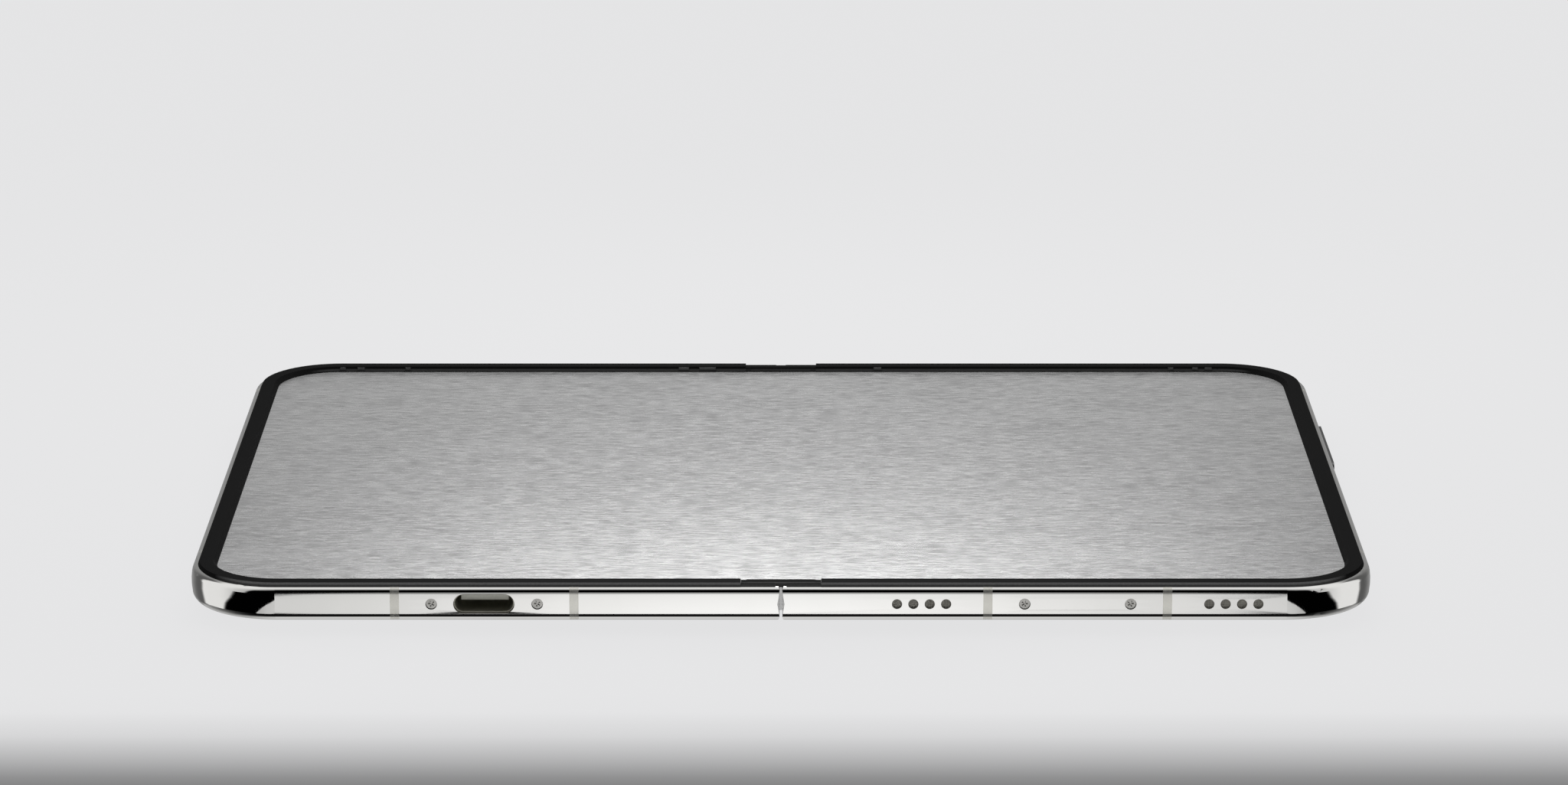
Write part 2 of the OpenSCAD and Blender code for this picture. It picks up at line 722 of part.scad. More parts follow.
module right_frame() {
  color("gainsboro") lift() difference() {
    plain_frame();
    sound_holes(mic_x);
    sound_holes(speaker_x);
    mirror([0, 1, 0]) sound_holes(mic_x);
    edge_screw_holes();
    translate([0, power_y, 0]) key_slot(power_len, key_wall_x);
    to_far_edge(volume_x) key_slot(volume_len, volume_wall_y);
  }
}

module left_frame() {
  color("gainsboro") lift() left_side() difference() {
    plain_frame();
    edge_screw_holes();
    mirror([0, 1, 0]) sound_holes(speaker_x);
    translate([usb_x, -half_d - over, port_z]) rotate([-90, 0, 0])
      linear_extrude(ledge_in + 2 * over) pill(usb_w, usb_h);
  }
}

module right_antenna_bands() {
  color("tan") lift() bands();
}

module left_antenna_bands() {
  color("tan") lift() left_side() bands();
}

// Middle plate with the bosses that the near edge's screws bite into
module midplate() {
  difference() {
    union() {
      half_sheet(frame_wall + fit, rail_x, mid_low, plate_low);
      at_edge_screws() block([-boss_half, frame_wall + fit, port_z - boss_drop],
                             [boss_half, boss_len, mid_low]);
    }
    at_edge_screws() translate([0, 0, port_z]) rotate([-90, 0, 0])
      cylinder(h = 2 * screw_len, r = shank_r);
    mech_ranges() block([0, 0, 0], [foot_x1 + fit, mech_len, frame_h]);
  }
}

module right_midplate() {
  color("silver") lift() difference() {
    midplate();
    translate([0, power_y, 0]) key_room(power_len, key_wall_x);
    to_far_edge(volume_x) key_room(volume_len, volume_wall_y);
  }
}

module left_midplate() {
  color("silver") lift() left_side() difference() {
    midplate();
    port_room();
    translate([selfie_x, selfie_y, 0]) cylinder(h = big, r = selfie_r + fit);
  }
}

// Notch for the charging port's shell in the plates above it
module port_room() {
  wide = usb_w / 2 + port_clear;
  deep = usb_set + usb_depth + port_clear;
  block([usb_x - wide, -half_d, port_z], [usb_x + wide, -half_d + deep, frame_h]);
}

// Places a piece that runs from y = 0 towards the middle at both hinge mechanisms
module mech_ranges() {
  both_ends() translate([0, -mech_y, 0]) children();
}

// Section of the rail beside the hinge: a lip that covers the spine, the round pocket
// that the spine turns in, a slope that the wing plate tilts over and its bead's groove
module rail_section() {
  lip = axis_z - pocket_r;
  difference() {
    union() {
      translate([gap_half, 0]) square([strip_w - gap_half, lip]);
      translate([axis_x, back_t]) square([rail_x - axis_x, plate_low - back_t]);
    }
    translate([axis_x, axis_z]) circle(pocket_r, $fn = 128);
    translate([wing_x, wing_z]) rotate(wing_tilt + tilt_clear) translate([-big, -bead_clear])
      square([big, big]);
    translate([wing_x, wing_z]) circle(wing_bead_r + bead_clear);
    translate([wing_x, wing_z]) square([wing_bead_r + bead_clear, over]);
  }
}

module hinge_rail() {
  reach = half_d - frame_wall;
  difference() {
    along_y(-reach, reach) rail_section();
    mech_ranges() block([axis_x + pocket_r / 2, 0, seat_z], [foot_x1 + fit, mech_len, frame_h]);
    bracket_screws_at() translate([0, 0, back_t + rail_floor]) cylinder(h = frame_h, r = shank_r);
  }
}

module right_hinge_rail() {
  color("lightgray") lift() hinge_rail();
}

module left_hinge_rail() {
  color("lightgray") lift() left_side() hinge_rail();
}

// Section of the bezel that stands on the frame and the sheet
module bezel_section() {
  polygon([
    [bezel_inset, frame_h],
    [bezel_inset + bezel_slope, bezel_top],
    [bezel_in - bezel_step, bezel_top],
    [bezel_in, sheet_top],
    [frame_wall + fit, sheet_top],
    [frame_wall + fit, frame_h]
  ]);
}

module bezel() {
  edge_sweep(bezel_end) bezel_section();
  both_ends() along_x(flange_end, bezel_end) translate([-half_d + bezel_inset, frame_h])
    polygon([[0, 0], [flange_w / 4, flange_rise], [flange_w, flange_rise], [flange_w, 0]]);
}

module right_bezel() {
  color("dimgray") lift() bezel();
}

module left_bezel() {
  color("dimgray") lift() left_side() bezel();
}

module right_screen_plate() {
  color("slategray") lift() half_sheet(sheet_inset + fit, fold_half, plate_low, sheet_low);
}

module left_screen_plate() {
  color("slategray") lift() left_side() difference() {
    half_sheet(sheet_inset + fit, fold_half, plate_low, sheet_low);
    port_room();
  }
}

module screen_right() {
  color("lightsteelblue") lift() half_sheet(sheet_inset, fold_half, sheet_low, sheet_top);
}

module screen_left() {
  color("lightsteelblue") lift() left_side()
    half_sheet(sheet_inset, fold_half, sheet_low, sheet_top);
}

// Flexible part of the sheet over the hinge, which bends as the phone closes
module screen_fold() {
  reach = half_d - sheet_inset;
  color("lightsteelblue") lift()
    block([-fold_half, -reach, sheet_low], [fold_half, reach, sheet_top]);
}

// Section of the soft trim between the bezels, with its top lowered by step
module cap_section(step) {
  low = frame_h + cap_clear;
  top = bezel_top - cap_drop - step;
  outer = bezel_inset + flange_w + cap_gap;
  inner = frame_wall + cap_wall_gap;
  translate([-half_d, 0]) polygon([
    [outer, low],
    [outer + bezel_slope, top],
    [bezel_in - bezel_step - step, top],
    [bezel_in - step, sheet_top],
    [inner, sheet_top],
    [inner, low]
  ]);
}

// Soft trim that bridges the two bezels at each end of the hinge
module hinge_caps() {
  reach = bezel_end - cap_end_gap;
  color("dimgray") lift() both_ends() {
    along_x(-cap_len / 2, cap_len / 2) cap_section(0);
    along_x(-reach, reach) cap_section(cap_step);
  }
}

// Tilting plate that holds up the sheet beside the hinge, on a bead along its outer edge
module wing() {
  along_y(-wing_len / 2, wing_len / 2) {
    translate([wing_edge, wing_low]) square([wing_x - wing_edge, wing_t]);
    translate([wing_x, wing_z]) circle(wing_bead_r);
  }
}

module right_wing() {
  color("darkkhaki") lift() wing();
}

module left_wing() {
  color("darkkhaki") lift() left_side() wing();
}

// Centres of the two cameras
module at_cameras() {
  for (s = [-1, 1]) translate([deck_x + s * cam_pitch / 2, deck_y, 0]) children();
}

module at_flash() {
  translate([deck_x, deck_y, 0]) children();
}

module back_cover() {
  color("whitesmoke") lift() difference() {
    half_sheet(back_inset, strip_w + fit / 2, 0, back_t);
    at_cameras() translate([0, 0, -over]) cylinder(h = big, r = cam_r + fit);
    at_flash() translate([0, 0, -over]) cylinder(h = big, r = flash_r + fit);
  }
}

module camera_deck() {
  color("silver") lift() difference() {
    union() {
      translate([deck_x, deck_y, deck_low + deck_edge_r]) linear_extrude(deck_h - deck_edge_r)
        pill(deck_len, deck_w);
      translate([deck_x, deck_y, deck_low]) linear_extrude(deck_edge_r)
        pill(deck_len - 2 * deck_edge_r, deck_w - 2 * deck_edge_r);
      for (s = [-1, 1])
        translate([deck_x + s * (deck_len - deck_w) / 2, deck_y, deck_low + deck_edge_r])
          rotate_extrude() translate([deck_w / 2 - deck_edge_r, 0]) circle(deck_edge_r);
      for (s = [-1, 1])
        translate([deck_x, deck_y + s * (deck_w / 2 - deck_edge_r), deck_low + deck_edge_r])
          rotate([0, 90, 0]) cylinder(h = deck_len - deck_w, r = deck_edge_r, center = true);
    }
    at_cameras() translate([0, 0, deck_low - over]) cylinder(h = big, r = cam_r + fit);
    at_flash() translate([0, 0, deck_low - over]) cylinder(h = big, r = flash_r + fit);
  }
}

module camera_rings() {
  color("gray") lift() at_cameras() translate([0, 0, deck_low - ring_h]) difference() {
    union() {
      translate([0, 0, ring_edge]) cylinder(h = ring_h - ring_edge, r = cam_r + ring_w);
      cylinder(h = ring_edge, r1 = cam_r + ring_w - ring_edge, r2 = cam_r + ring_w);
    }
    translate([0, 0, -over]) cylinder(h = ring_h + 2 * over, r = cam_r + fit);
  }
}

module camera_lenses() {
  color("black") lift() at_cameras() translate([0, 0, deck_low - ring_h + fit])
    cylinder(h = cam_glass_t, r = cam_r);
}

// Camera barrels, each with a recess behind its glass
module camera_modules() {
  color("darkslategray") lift() at_cameras() {
    low = deck_low - ring_h + fit + cam_glass_t;
    translate([0, 0, low]) difference() {
      cylinder(h = cell_top - low, r = cam_r - fit);
      translate([0, 0, -over]) cylinder(h = cam_nose_t + over, r = cam_nose_r);
    }
  }
}

module flash_window() {
  color("lightyellow") lift() at_flash() translate([0, 0, deck_low])
    cylinder(h = deck_h + back_t + flash_stub, r = flash_r);
}

// Main board beside the cameras, an L seen from above
module main_board() {
  y0 = right_cell_far + part_gap;
  y1 = deck_y - deck_w / 2;
  x1 = half_w - ledge_in - cell_gap;
  color("darkgreen") lift() {
    block([cell_x, y0, board_z], [x1, y1, board_z + board_t]);
    block([cell_x, y0, board_z],
          [deck_x - deck_len / 2, half_d - ledge_in - part_gap, board_z + board_t]);
  }
}

module board_shields() {
  y0 = right_cell_far + part_gap + shield_edge;
  y1 = deck_y - deck_w / 2 - shield_edge;
  x0 = cell_x + shield_edge;
  x1 = half_w - ledge_in - cell_gap + shield_edge;
  pitch = (x1 - x0) / shield_count;
  wide = pitch - 2 * shield_edge;
  color("silver") lift() for (i = [0 : shield_count - 1]) {
    x = x0 + i * pitch;
    block([x, y0, board_z + board_t], [x + wide, y1, cell_top]);
    block([x, y0, back_t + fit], [x + wide, y1, board_z]);
  }
}

// Battery between two corners seen from above
module battery(y0, y1, low) {
  translate([0, 0, low]) linear_extrude(cell_top - low)
    round_rect([cell_x, y0], [half_w - ledge_in - cell_gap, y1], cell_r);
}

module right_battery() {
  color("darkgray") lift() battery(right_cell_near, right_cell_far, back_t + fit);
}

module left_battery() {
  color("darkgray") lift() left_side() battery(left_cell_near, left_cell_far, left_floor);
}

module speaker_box() {
  y0 = -half_d + ledge_in + fit;
  y1 = right_cell_near - part_gap;
  color("dimgray") lift() {
    translate([0, 0, back_t + fit]) linear_extrude(cell_top - back_t - fit)
      round_rect([speaker_x - speaker_len / 2, y0], [speaker_x + speaker_len / 2, y1], box_r);
    block([speaker_x - speaker_mouth / 2, -half_d + frame_wall + mesh_t + fit, back_t + fit],
          [speaker_x + speaker_mouth / 2, y0 + over, mid_low - ledge_t - fit]);
  }
}

// Fine meshes behind the sound holes
module speaker_meshes() {
  half = (hole_count - 1) * hole_pitch / 2 + hole_r + mesh_edge;
  low = port_z - mesh_half;
  top = mid_low - ledge_t - fit;
  near = -half_d + frame_wall;
  color("gray") lift() {
    for (x = [mic_x, speaker_x]) block([x - half, near, low], [x + half, near + mesh_t, top]);
    block([mic_x - half, -near - mesh_t, low], [mic_x + half, -near, top]);
  }
}

// Screw along +Y with a star recess in its head
module edge_screw() {
  points = 5;
  rotate([-90, 0, 0]) difference() {
    union() {
      cylinder(h = screw_head_t, r = screw_r);
      cylinder(h = screw_len, r = shank_r);
    }
    for (i = [0 : points - 1]) rotate(360 / points * i) translate([0, -star_w / 2, -over])
      cube([shank_r, star_w, star_depth + over]);
  }
}

module edge_screws() {
  at_edge_screws() translate([0, screw_set, port_z]) edge_screw();
}

module right_edge_screws() {
  color("dimgray") lift() edge_screws();
}

module left_edge_screws() {
  color("dimgray") lift() left_side() edge_screws();
}

module power_key() {
  color("dimgray") lift() translate([0, power_y, 0])
    key(power_len, key_wall_x, half_w + key_proud);
}

module volume_key() {
  color("dimgray") lift() to_far_edge(volume_x)
    key(volume_len, volume_wall_y, half_d + key_proud);
}

// Click switch whose plunger waits just behind a key's flange
module switch(back) {
  nose = back - key_travel - switch_gap;
  face = nose - plunger_t;
  block([nose - switch_t, -switch_len / 2, port_z - switch_h / 2],
        [face, switch_len / 2, port_z + switch_h / 2]);
  block([face, -plunger_len / 2, port_z - plunger_h / 2],
        [nose, plunger_len / 2, port_z + plunger_h / 2]);
}

module power_switch() {
  color("gold") lift() translate([0, power_y, 0]) switch(key_back);
}

module volume_switches() {
  color("gold") lift() to_far_edge(volume_x) for (s = [-1, 1])
    translate([0, s * volume_len / 3, 0]) switch(volume_back);
}

module magnets() {
  x = half_w - ledge_in - magnet_gap;
  block([x - magnet_t, -magnet_y - magnet_len / 2, left_floor],
        [x, -magnet_y + magnet_len / 2, mid_low - fit]);
}

module right_magnets() {
  color("slategray") lift() magnets();
}

module left_magnets() {
  color("slategray") lift() left_side() magnets();
}

module cover_glass() {
  color("black") lift() left_side() half_sheet(back_inset, strip_w + fit / 2, 0, back_t);
}

module cover_display() {
  color("midnightblue") lift() left_side() difference() {
    half_sheet(ledge_in, rail_x + panel_gap, back_t, back_t + panel_t);
    translate([selfie_x, selfie_y, 0]) cylinder(h = big, r = selfie_r + fit);
  }
}

module selfie_camera() {
  color("darkslategray") lift() left_side() translate([selfie_x, selfie_y, back_t]) {
    cylinder(h = mid_low - back_t, r = selfie_r);
    translate([-selfie_body / 2, -selfie_body / 2, panel_t + fit])
      cube([selfie_body, selfie_body, mid_low - back_t - panel_t - 2 * fit]);
  }
}

// Lower board of the left half, with the charging port's seat cut out
module sub_board() {
  clear = usb_w / 2 + fit;
  deep = usb_set + usb_depth + 2 * fit;
  color("darkgreen") lift() left_side() difference() {
    block([cell_x, -half_d + boss_len + 2 * fit, board_z],
          [half_w - ledge_in - motor_gap - motor_w - part_gap, left_cell_near - part_gap,
           board_z + board_t]);
    block([usb_x - clear, -half_d, 0], [usb_x + clear, -half_d + deep, frame_h]);
  }
}

module usb_shell() {
  color("silver") lift() left_side() translate([usb_x, -half_d + usb_set, port_z])
    rotate([-90, 0, 0]) difference() {
      linear_extrude(usb_depth) pill(usb_w - 2 * usb_clear, usb_h - 2 * usb_clear);
      translate([0, 0, -over]) linear_extrude(usb_depth - usb_back + over)
        pill(usb_w - 2 * usb_wall, usb_h - 2 * usb_wall);
    }
}

module usb_tongue() {
  end = -half_d + usb_set + usb_depth - usb_back;
  color("black") lift() left_side()
    block([usb_x - tongue_w / 2, end - tongue_len, port_z - tongue_t / 2],
          [usb_x + tongue_w / 2, end, port_z + tongue_t / 2]);
}

module vibration_motor() {
  x1 = half_w - ledge_in - motor_gap;
  y1 = left_cell_near - part_gap;
  color("silver") lift() left_side()
    translate([0, 0, left_floor]) linear_extrude(cell_top - left_floor)
      round_rect([x1 - motor_w, y1 - motor_len], [x1, y1], box_r);
}

module earpiece() {
  x0 = speaker_x - earpiece_len / 2;
  y1 = half_d - ledge_in - fit;
  color("dimgray") lift() left_side() {
    translate([0, 0, left_floor]) linear_extrude(cell_top - left_floor)
      round_rect([x0, left_cell_far + part_gap], [x0 + earpiece_len, y1], box_r);
    block([speaker_x - earpiece_mouth / 2, y1 - over, left_floor],
          [speaker_x + earpiece_mouth / 2, half_d - frame_wall - fit, mid_low - ledge_t - fit]);
  }
}

// Section of the inside of the spine, drawn as a trough of radius r round both axes
module trough(r, top) {
  intersection() {
    union() {
      for (s = [-1, 1]) translate([s * axis_x, axis_z]) circle(r, $fn = 128);
      translate([-axis_x, axis_z - r]) square([2 * axis_x, r]);
    }
    translate([-big / 2, -big]) square([big, big + top]);
  }
}

module spine_shell() {
  color("silver") lift() difference() {
    along_y(-spine_half, spine_half) difference() {
      trough(spine_r, spine_rim);
      trough(shell_in_r, spine_rim + over);
    }
    arm_gates();
  }
}

// Notches in the shell's rim where the arms come out
module arm_gates() {
  mech_ranges()
    block([-big, bay_s, gear_z - arm_t / 2 - gate_clear], [big, bay_s + bay_w, frame_h]);
}

module spine_end_caps() {
  color("gray") lift() both_ends() along_y(-spine_half, -spine_half + end_cap_t)
    trough(block_r, spine_rim);
}

// Ring about the right folding axis that a curved tongue slides in
module arc_groove() {
  translate([axis_x, axis_z]) difference() {
    circle(arc_out_r + arc_clear, $fn = 128);
    circle(arc_in_r - arc_clear, $fn = 128);
  }
}

// Holes through the cross walls for the four gear pins
module pin_bores(r) {
  for (i = [-3 : 2 : 3])
    translate([i * gear_pitch, bay_s - web_t, gear_z]) rotate([-90, 0, 0])
      cylinder(h = bay_w + 2 * web_t + over, r = r);
}

// Base block of one mechanism: two curved grooves, one for each half, and a bay for gears
module hinge_base() {
  right_s = web_t;
  left_s = 2 * web_t + groove_w;
  difference() {
    union() {
      along_y(0, mech_len) trough(block_r, block_top);
      for (s = [bay_s - web_t, bay_s + bay_w]) along_y(s, s + web_t) trough(block_r, web_top);
    }
    along_y(right_s, right_s + groove_w) arc_groove();
    along_y(left_s, left_s + groove_w) mirror([1, 0]) arc_groove();
    block([-big, bay_s, axis_z - block_r + floor_t], [big, bay_s + bay_w, frame_h]);
    pin_bores(pin_r);
  }
}

module hinge_bases() {
  color("darkgray") lift() mech_ranges() hinge_base();
}

// Gear pins; the outer two run on past the base to carry the friction washers
module hinge_pins() {
  start = bay_s - web_t + pin_short;
  clip = mech_len + washer_count * washer_t + 2 * washer_gap;
  color("silver") lift() mech_ranges() for (i = [-3 : 2 : 3]) {
    long = abs(i) == 3;
    end = long ? clip + clip_t + pin_short : mech_len - pin_short;
    translate([i * gear_pitch, start, gear_z]) rotate([-90, 0, 0])
      cylinder(h = end - start, r = pin_r);
    if (long) translate([i * gear_pitch, clip, gear_z]) rotate([-90, 0, 0])
      cylinder(h = clip_t, r = clip_r);
  }
}

// Stack of dished washers on each outer pin, which makes the hinge stiff
module friction_washers() {
  color("goldenrod") lift() mech_ranges() for (s = [-1, 1], k = [0 : washer_count - 1]) {
    dish = k % 2 == 0 ? washer_dish : 0;
    translate([s * gear_x, mech_len + washer_gap + k * washer_t, gear_z]) rotate([-90, 0, 0])
      difference() {
        union() {
          translate([0, 0, dish]) cylinder(h = washer_t - washer_dish, r = washer_r);
          cylinder(h = washer_t, r = washer_crown_r);
        }
        translate([0, 0, -over]) cylinder(h = washer_t + 2 * over, r = pin_r + washer_clear);
      }
  }
}

function involute(a) = tan(a) * 180 / PI - a;

// Half of a tooth's angle at radius r
function tooth_half(r) =
  90 / teeth - backlash / gear_pitch * 45 / PI
  + involute(pressure) - involute(acos(min(1, gear_base / r)));

// Outline of a gear, its first tooth centred on the given angle
function gear_points(start) =
  let (radii = [gear_root, gear_base, (gear_base + gear_pitch) / 2, gear_pitch,
                (gear_pitch + gear_tip) / 2, gear_tip])
  [for (i = [0 : teeth - 1], side = [-1, 1], k = [0 : 5])
    let (r = side < 0 ? radii[k] : radii[5 - k],
         a = start + i * 360 / teeth + side * tooth_half(r))
    r * [cos(a), sin(a)]];

module gear(start) {
  difference() {
    polygon(gear_points(start));
    circle(pin_r + pin_clear);
  }
}

module idlers(x, start) {
  s = bay_s + cheek_room;
  mech_ranges() along_y(s, s + gear_w) translate([x, gear_z]) gear(start);
}

module right_idlers() {
  color("goldenrod") lift() idlers(gear_pitch, 0);
}

module left_idlers() {
  color("goldenrod") lift() idlers(-gear_pitch, 180 / teeth);
}

// Gear with an arm that reaches out to a follower pin in the half's bracket
module arms(start) {
  s = bay_s + cheek_room;
  mech_ranges() {
    along_y(s, s + gear_w) difference() {
      union() {
        translate([gear_x, gear_z]) polygon(gear_points(start));
        translate([gear_x, gear_z - arm_t / 2]) square([arm_len, arm_t]);
        translate([follow_x, gear_z]) circle(follower_r + arm_end_wall);
      }
      translate([gear_x, gear_z]) circle(pin_r + pin_clear);
    }
    along_y(s - follower_out, s + gear_w + follower_out)
      translate([follow_x, gear_z]) circle(follower_r);
  }
}

module right_arms() {
  color("orange") lift() arms(180 / teeth);
}

module left_arms() {
  color("orange") lift() left_side() arms(180);
}

// Curved slot that a follower pin runs in as the phone closes
module follower_slot() {
  steps = [slot_open, slot_open - 90];
  translate([slot_cx, axis_z]) {
    intersection() {
      difference() {
        circle(slot_r + slot_half, $fn = 128);
        circle(slot_r - slot_half, $fn = 128);
      }
      polygon([[0, 0], for (a = [0 : 30 : 90]) big * [cos(slot_open - a), sin(slot_open - a)]]);
    }
    for (a = steps) translate(slot_r * [cos(a), sin(a)]) circle(slot_half);
  }
}

// Curved tongue about the right folding axis, with the bridge that carries it
module tongue_section() {
  bridge_low = block_top + bridge_gap;
  bridge_top = sheet_low - bridge_drop;
  bridge_x = foot_x0 + bridge_wall;
  tilt = asin((axis_z - (bridge_low + bridge_top) / 2) / arc_in_r);
  translate([foot_x0, seat_z]) square([bridge_x - foot_x0, bridge_top - seat_z]);
  translate([axis_x + arc_in_r, bridge_low])
    square([bridge_x - axis_x - arc_in_r, bridge_top - bridge_low]);
  translate([axis_x, axis_z]) intersection() {
    difference() {
      circle(arc_out_r, $fn = 128);
      circle(arc_in_r, $fn = 128);
    }
    polygon([[0, 0], for (i = [0 : 4]) let (a = tilt + (arc_end - tilt) * i / 4)
      big * [cos(a), -sin(a)]]);
  }
}

// Cheek beside the arm, with the slot for the follower pin
module cheek_section() {
  difference() {
    union() {
      translate([foot_x0, seat_z]) square([cheek_x1 - foot_x0, plate_low - seat_z]);
      translate([foot_x0, seat_z]) square([foot_x1 - foot_x0, foot_t]);
    }
    follower_slot();
  }
}

// Bracket of the right half in one mechanism: a foot on the rail, a curved tongue
// that slides round the folding axis, and two slotted cheeks beside the arm
module hinge_bracket(groove_s) {
  start = bay_s + cheek_room - side_clear;
  end = bay_s + cheek_room + gear_w + side_clear;
  last = mech_len - side_clear;
  block([foot_x0, side_clear, seat_z], [foot_x1, last, seat_z + low_foot_t]);
  block([foot_x0, side_clear, seat_z], [foot_x1, start - cheek_t, foot_top]);
  block([foot_x0, end + cheek_t, seat_z], [foot_x1, last, foot_top]);
  block([cheek_x1 + fit, start - fit, seat_z], [foot_x1, end + fit, foot_top]);
  along_y(groove_s + side_clear, groove_s + groove_w - side_clear) tongue_section();
  for (s = [start - cheek_t, end]) along_y(s, s + cheek_t) cheek_section();
}

// Places of the bracket screws, in both mechanisms
module bracket_screws_at() {
  mech_ranges() for (s = [web_t + groove_w / 2, bay_s + bay_w / 2])
    translate([bracket_screw_x, s, 0]) children();
}

module brackets(groove_s) {
  difference() {
    mech_ranges() hinge_bracket(groove_s);
    bracket_screws_at() cylinder(h = frame_h, r = shank_r + shank_clear);
  }
}

module right_hinge_brackets() {
  color("steelblue") lift() brackets(web_t);
}

module left_hinge_brackets() {
  color("steelblue") lift() left_side() brackets(2 * web_t + groove_w);
}

module bracket_screws() {
  low = back_t + rail_floor + fit;
  bracket_screws_at() {
    translate([0, 0, foot_top]) cylinder(h = bracket_head_t, r = bracket_screw_r);
    translate([0, 0, low]) cylinder(h = foot_top + bracket_head_t / 2 - low, r = shank_r);
  }
}

module right_bracket_screws() {
  color("gray") lift() bracket_screws();
}

module left_bracket_screws() {
  color("gray") lift() left_side() bracket_screws();
}

// Flexible circuit that sags into the spine on its way between the halves
module hinge_flex() {
  r = (flex_span * flex_span + flex_sag * flex_sag) / (2 * flex_sag);
  low = mid_low - flex_drop;
  color("peru") lift() along_y(-flex_w / 2, flex_w / 2) {
    for (s = [0, 1]) mirror([s, 0]) translate([flex_span - fit, low])
      square([flex_end - flex_span + fit, flex_t]);
    intersection() {
      translate([0, low - flex_sag + r]) difference() {
        circle(r, $fn = 128);
        circle(r - flex_t, $fn = 128);
      }
      translate([-flex_span, low - flex_sag]) square([2 * flex_span, flex_sag + flex_t]);
    }
  }
}

right_frame();
right_antenna_bands();
right_midplate();
right_hinge_rail();
right_bezel();
right_screen_plate();
screen_right();
back_cover();
camera_deck();
camera_rings();
camera_lenses();
camera_modules();
flash_window();
main_board();
board_shields();
right_battery();
speaker_box();
speaker_meshes();
right_edge_screws();
power_key();
power_switch();
volume_key();
volume_switches();
right_hinge_brackets();
right_bracket_screws();
right_magnets();
right_wing();
left_frame();
left_antenna_bands();
left_midplate();
left_hinge_rail();
left_bezel();
left_screen_plate();
screen_left();
cover_glass();
cover_display();
selfie_camera();
left_battery();
sub_board();
usb_shell();
usb_tongue();
left_edge_screws();
vibration_motor();
earpiece();
left_hinge_brackets();
left_bracket_screws();
left_magnets();
left_wing();
spine_shell();
spine_end_caps();
hinge_bases();
hinge_pins();
friction_washers();
right_arms();
left_arms();
right_idlers();
left_idlers();
screen_fold();
hinge_caps();
hinge_flex();
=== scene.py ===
import json
import math

import bmesh
import bpy
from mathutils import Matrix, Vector

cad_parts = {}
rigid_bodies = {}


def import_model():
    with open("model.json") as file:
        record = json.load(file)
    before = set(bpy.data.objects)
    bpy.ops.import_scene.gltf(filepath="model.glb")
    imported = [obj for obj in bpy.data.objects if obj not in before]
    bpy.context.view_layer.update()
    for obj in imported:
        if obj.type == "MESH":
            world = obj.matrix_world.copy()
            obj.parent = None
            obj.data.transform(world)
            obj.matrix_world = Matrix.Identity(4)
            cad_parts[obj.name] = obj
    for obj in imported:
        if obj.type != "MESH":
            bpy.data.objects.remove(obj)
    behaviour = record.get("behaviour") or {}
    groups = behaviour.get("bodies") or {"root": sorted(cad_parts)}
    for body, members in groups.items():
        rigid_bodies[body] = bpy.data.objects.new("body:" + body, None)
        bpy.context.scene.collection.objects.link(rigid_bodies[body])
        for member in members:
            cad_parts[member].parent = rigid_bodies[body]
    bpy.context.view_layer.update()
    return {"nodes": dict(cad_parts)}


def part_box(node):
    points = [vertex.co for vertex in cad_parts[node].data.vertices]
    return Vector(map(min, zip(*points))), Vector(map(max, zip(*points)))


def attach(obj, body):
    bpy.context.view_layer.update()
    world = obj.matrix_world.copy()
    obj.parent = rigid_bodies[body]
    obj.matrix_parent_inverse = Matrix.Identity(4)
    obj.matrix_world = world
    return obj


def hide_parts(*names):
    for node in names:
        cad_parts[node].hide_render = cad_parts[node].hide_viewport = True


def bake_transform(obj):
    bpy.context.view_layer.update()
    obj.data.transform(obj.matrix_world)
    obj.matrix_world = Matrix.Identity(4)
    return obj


for start_object in list(bpy.data.objects):
    bpy.data.objects.remove(start_object, do_unlink=True)
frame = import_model()
scene = bpy.context.scene
nodes = frame["nodes"]
MM = 0.001
BACK_Z = 1.8 * MM

# Camera, as the photograph shows the object
IMAGE_W = 2048
IMAGE_H = 1025
FOCAL_PX = 6970
CENTRE_PX = (1020, 510.75)
CAMERA_AT = (0, -766 * MM, 226 * MM + BACK_Z)
CAMERA_DOWN = math.radians(15.27)
SENSOR_MM = 36
camera_data = bpy.data.cameras.new("camera")
camera_data.sensor_width = SENSOR_MM
camera_data.lens = FOCAL_PX / IMAGE_W * SENSOR_MM
camera_data.shift_x = (IMAGE_W / 2 - CENTRE_PX[0]) / IMAGE_W
camera_data.shift_y = (CENTRE_PX[1] - IMAGE_H / 2) / IMAGE_W
camera_data.clip_start = 0.01
camera = bpy.data.objects.new("camera", camera_data)
camera.location = CAMERA_AT
camera.rotation_euler = (math.pi / 2 - CAMERA_DOWN, 0, 0)
scene.collection.objects.link(camera)
scene.camera = camera
scene.view_settings.view_transform = "Standard"


# Node helpers
def node(tree, kind, inputs=None, **settings):
    made = tree.nodes.new(kind)
    for key, value in settings.items():
        setattr(made, key, value)
    for key, value in (inputs or {}).items():
        if hasattr(value, "links"):
            tree.links.new(value, made.inputs[key])
        else:
            made.inputs[key].default_value = value
    return made


def material(name):
    made = bpy.data.materials.new(name)
    made.use_nodes = True
    tree = made.node_tree
    return made, tree, tree.nodes["Principled BSDF"]


def base_name(item):
    """A material's name without the number that Blender adds to a copy."""
    return item.name.split(".")[0]


def place(tree, scale=(1, 1, 1)):
    where = node(tree, "ShaderNodeTexCoord")
    return node(tree, "ShaderNodeMapping", {
        "Vector": where.outputs["Object"], "Scale": scale}).outputs[0]


def noise(tree, where, scale, detail=3.0, rough=0.55, warp=0.0):
    return node(tree, "ShaderNodeTexNoise", {
        "Vector": where, "Scale": scale, "Detail": detail, "Roughness": rough,
        "Distortion": warp}).outputs["Fac"]


def colour_of(value):
    if isinstance(value, (int, float)):
        value = (value, value, value)
    return (*value, 1.0)


